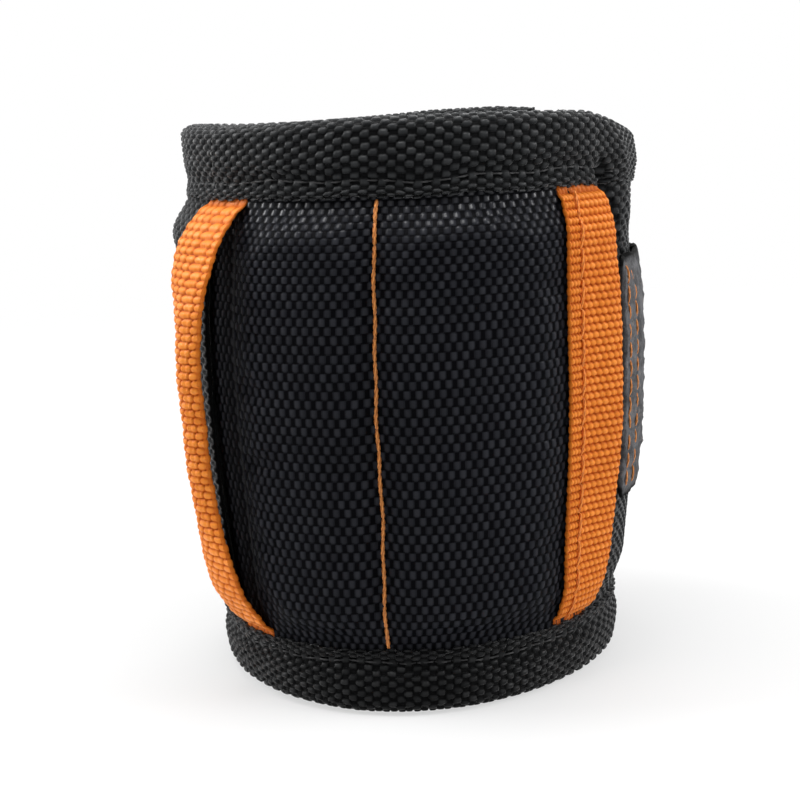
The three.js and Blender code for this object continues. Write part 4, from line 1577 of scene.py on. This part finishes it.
def scattered(s_span, z_span, margin, spacing, level, seed, turned, end_round=0.0, down=False):
    """Frames in slightly disordered rows on a patch whose far end has round corners."""
    z_low, z_high = z_span[0] + margin, z_span[1] - margin
    s_list = steps(s_span[0] + margin, s_span[1] - margin, spacing)
    s, z = np.meshgrid(s_list, steps(z_low, z_high, spacing))
    rng = np.random.default_rng(seed)
    s = (s + rng.uniform(-STRAY, STRAY, s.shape) * spacing).ravel()
    z = (z + rng.uniform(-STRAY, STRAY, z.shape) * spacing).ravel()
    cut = corner(s_span[1] - s, end_round)
    keep = (z > z_low + cut) & (z < z_high - cut)
    origin, along, out = stance(s[keep], z[keep], level)
    angle = rng.uniform(-turned, turned, len(origin))[:, None]
    right_of = along * np.cos(angle) + np.cross(out, along) * np.sin(angle)
    if down:
        out = -out
    return origin, right_of, np.cross(out, right_of), out


print("repeat helper ready")

# %% The field of loops
LOOP_START = 99.9
LOOP_END = min(LOOP_START + 52.0, GIRTH + LEFT_FOLD - FOLD_REACH)
LOOP_PATCH = (LOOP_START, LOOP_END), (STRAP_LOW - 2.0, STRAP_HIGH + 2.0)
LOOP_BASE, LOOP_ROUND, LOOP_MARGIN, LOOP_OVER = 0.42, 0.8, 0.6, 0.05
LOOP_SIZE, LOOP_WIRE, LOOP_CUT, LOOP_SPACING, LOOP_TURN = 0.38, 0.05, -0.12, 0.94, 1.4
loop_base = slab(
    "loop_field_cloth",
    *LOOP_PATCH,
    lambda s: LOOP_LEVEL + 0 * s,
    LOOP_BASE,
    (LOOP_ROUND, LOOP_ROUND),
    LOOPS,
    rough=0.04,
    seed=3,
)
level = LOOP_LEVEL + LOOP_BASE + LOOP_OVER
loops = repeated(
    "loop_pile",
    half_ring("loop", LOOP_SIZE, LOOP_WIRE, LOOP_CUT),
    scattered(*LOOP_PATCH, LOOP_MARGIN, LOOP_SPACING, level, 5, LOOP_TURN),
    LOOPS,
)
for piece in (loop_base, loops):
    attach(piece, "left_wing")
    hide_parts("loop_field")

# %% The patch of hooks
HOOK_START, HOOK_END, HOOK_INSET = 100.7, 128.7, 1.5
HOOK_PATCH = (HOOK_START, HOOK_END), (STRAP_LOW + HOOK_INSET, STRAP_HIGH - HOOK_INSET)
HOOK_BASE, HOOK_ROUND, HOOK_MARGIN, HOOK_SUNK = 0.42, TONGUE_ROUND - HOOK_INSET, 0.8, 0.08
HOOK_SIZE, HOOK_WIRE, HOOK_CUT, HOOK_SPACING, HOOK_TURN = 0.3, 0.06, -0.2, 1.15, 0.25
HOOK_UNDER = HOOK_LEVEL + 0.38
hook_base = slab(
    "hook_patch_cloth",
    *HOOK_PATCH,
    lambda s: HOOK_UNDER + 0 * s,
    HOOK_BASE,
    (LOOP_ROUND, HOOK_ROUND),
    LOOPS,
    rough=0.02,
    seed=7,
)
level = HOOK_UNDER - HOOK_SUNK
hooks = repeated(
    "hooks",
    half_ring("hook", HOOK_SIZE, HOOK_WIRE, HOOK_CUT),
    scattered(
        *HOOK_PATCH, HOOK_MARGIN, HOOK_SPACING, level, 9, HOOK_TURN, HOOK_ROUND, down=True
    ),
    LOOPS,
)
for piece in (hook_base, hooks):
    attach(piece, "strap")
    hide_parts("hook_patch")

# %% [markdown]
# ## The lining
# Inside, against the wrist, lies an airy knitted mesh with small round holes. It is one
# thin sheet for each part of the band, held by the bindings. The holes are pressed into
# the mesh as dimples, so that the lining looks right when one looks down into the cuff.

# %% Linings
HOLE_PITCH, HOLE_DEPTH, ROW_SHARE = 2.4, 0.42, 0.87
HOLE_WIDE, HOLE_TALL, HOLE_FLAT = 0.27, 0.29, 1.6
LINING_STEP = 0.5


def knit(u, v):
    """Dimples in rows, every other row set off by half."""
    j = np.floor(v)
    shifted = u + 0.5 * (j % 2)
    x, y = shifted - np.floor(shifted) - 0.5, v - j - 0.5
    hole = np.exp(-((x / HOLE_WIDE) ** 2 + (y / HOLE_TALL) ** 2) ** HOLE_FLAT)
    return -HOLE_DEPTH * hole, 1 - hole, np.ones(u.shape)


def lining(name, s_from, s_to, back_of):
    s_list = steps(s_from, s_to, LINING_STEP)
    z_inner = steps(HIGH_SEAM + PANEL_TUCK, LOW_SEAM - PANEL_TUCK, LINING_STEP)
    z_list = np.concatenate([z_inner, back_rows(z_inner[-1], z_inner[0])])
    s_grid, z_grid = np.meshgrid(s_list, z_list)
    inner = np.arange(len(z_list)) < len(z_inner)
    base = back_of(s_grid, z_grid) + ripple(s_grid, 0.12, 9.0, 1.0) * full_up(z_grid)
    level = np.where(inner[:, None], -base - CLOTH, -base)
    level[-1] = level[0]
    u, v = s_grid / HOLE_PITCH, z_grid / (HOLE_PITCH * ROW_SHARE)
    return tube(name, laid(s_grid, z_grid, level), u, v, knit, one_side(inner), MESH)


LINING_SPANS = {
    "front": (FRONT_LEFT, FRONT_RIGHT, front_back),
    "right_wing": (FRONT_RIGHT, RIGHT_END - HEM, wing_level("right_wing")),
    "left_wing": (LEFT_END + HEM, FRONT_LEFT, wing_level("left_wing")),
}
for body, (low, high, back_of) in LINING_SPANS.items():
    piece = lining(body + "_lining_cloth", low, high, back_of)
    move_with(piece, body)
    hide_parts(body + "_lining")
    (high - low) * MM
    body + "_foam"

# %% [markdown]
# ## Foam
# The foam is never seen, but it fills the cloth and holds the magnets. A copy of its solid
# is merged and rebuilt from small voxels, which rounds its cut edges as soft foam does.

# %% Foam pads
FOAM_VOXEL = 0.72


def place_round(points):
    """The s of points in the band, found from their turn round its axis."""
    wide, deep, high = oval(points[:, 2])
    x = points[:, 0] - SHIFT[0] - RIM_LEAN * high
    y = points[:, 1] - SHIFT[1] - RIM_BACK * high
    return np.arctan2(x / wide, -y / deep) * BELLY


def dented(points):
    """The foam goes in and out with the cloth round it."""
    s, z = place_round(points), points[:, 2]
    out = on_cuff(s, z, 1.0) - on_cuff(s, z, 0.0)
    return points + out * pressed(s, z)[:, None]


for body in ("front", "left_wing", "right_wing"):
    node = body + "_foam"
    pad = bpy.data.objects.new(node + "_pad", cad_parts[node].data.copy())
    bpy.context.collection.objects.link(pad)
    edit_all(pad)
    bpy.ops.mesh.remove_doubles(threshold=1e-6)
    bpy.ops.object.mode_set(mode="OBJECT")
    remesh = pad.modifiers.new("voxels", "REMESH")
    remesh.mode, remesh.voxel_size, remesh.use_smooth_shade = "VOXEL", FOAM_VOXEL * MM, True
    bpy.ops.object.modifier_apply(modifier="voxels")
    put_points(pad, dented(points_of(pad.data) / MM))
    pad.data.materials.clear()
    pad.data.materials.append(FOAM)
    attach(pad, body)
    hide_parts(node)
    print(node, len(pad.data.polygons), "faces")

# %% [markdown]
# ## Magnets
# Fifteen plated discs lie in pockets in the foam. Each is a cylinder whose edges are
# bevelled, stood in the middle of its solid and turned to lie flat in the band.

# %% Magnet discs
MAGNET_RADIUS, MAGNET_THICK, MAGNET_BEVEL = 5.0, 2.0, 0.25


def magnet(name, node):
    low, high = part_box(node)
    middle = np.array((low + high) / 2) / MM
    s = float(place_round(middle[None])[0])
    out = Vector(on_cuff(s, middle[2], 1.0) - on_cuff(s, middle[2], 0.0)).normalized()
    bpy.ops.object.select_all(action="DESELECT")
    bpy.ops.mesh.primitive_cylinder_add(
        vertices=48,
        radius=MAGNET_RADIUS * MM,
        depth=MAGNET_THICK * MM,
        location=Vector(middle) * MM,
        rotation=out.to_track_quat("Z", "Y").to_euler(),
    )
    piece = bpy.context.object
    piece.name = name
    bpy.ops.object.transform_apply(location=True, rotation=True, scale=True)
    bevel = piece.modifiers.new("edge", "BEVEL")
    bevel.width, bevel.segments = MAGNET_BEVEL * MM, 3
    bpy.ops.object.modifier_apply(modifier="edge")
    bpy.ops.object.shade_smooth_by_angle(angle=math.radians(40))
    piece.data.materials.append(NICKEL)
    return piece


SEATS = {"front": range(1, 11), "left_wing": range(11, 16)}
for body, numbers in SEATS.items():
    for number in numbers:
        node = "magnet_%02d" % number
        piece = magnet(node + "_disc", node)
        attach(piece, body)
        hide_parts(node)
print("magnets:", sum(len(n) for n in SEATS.values()))
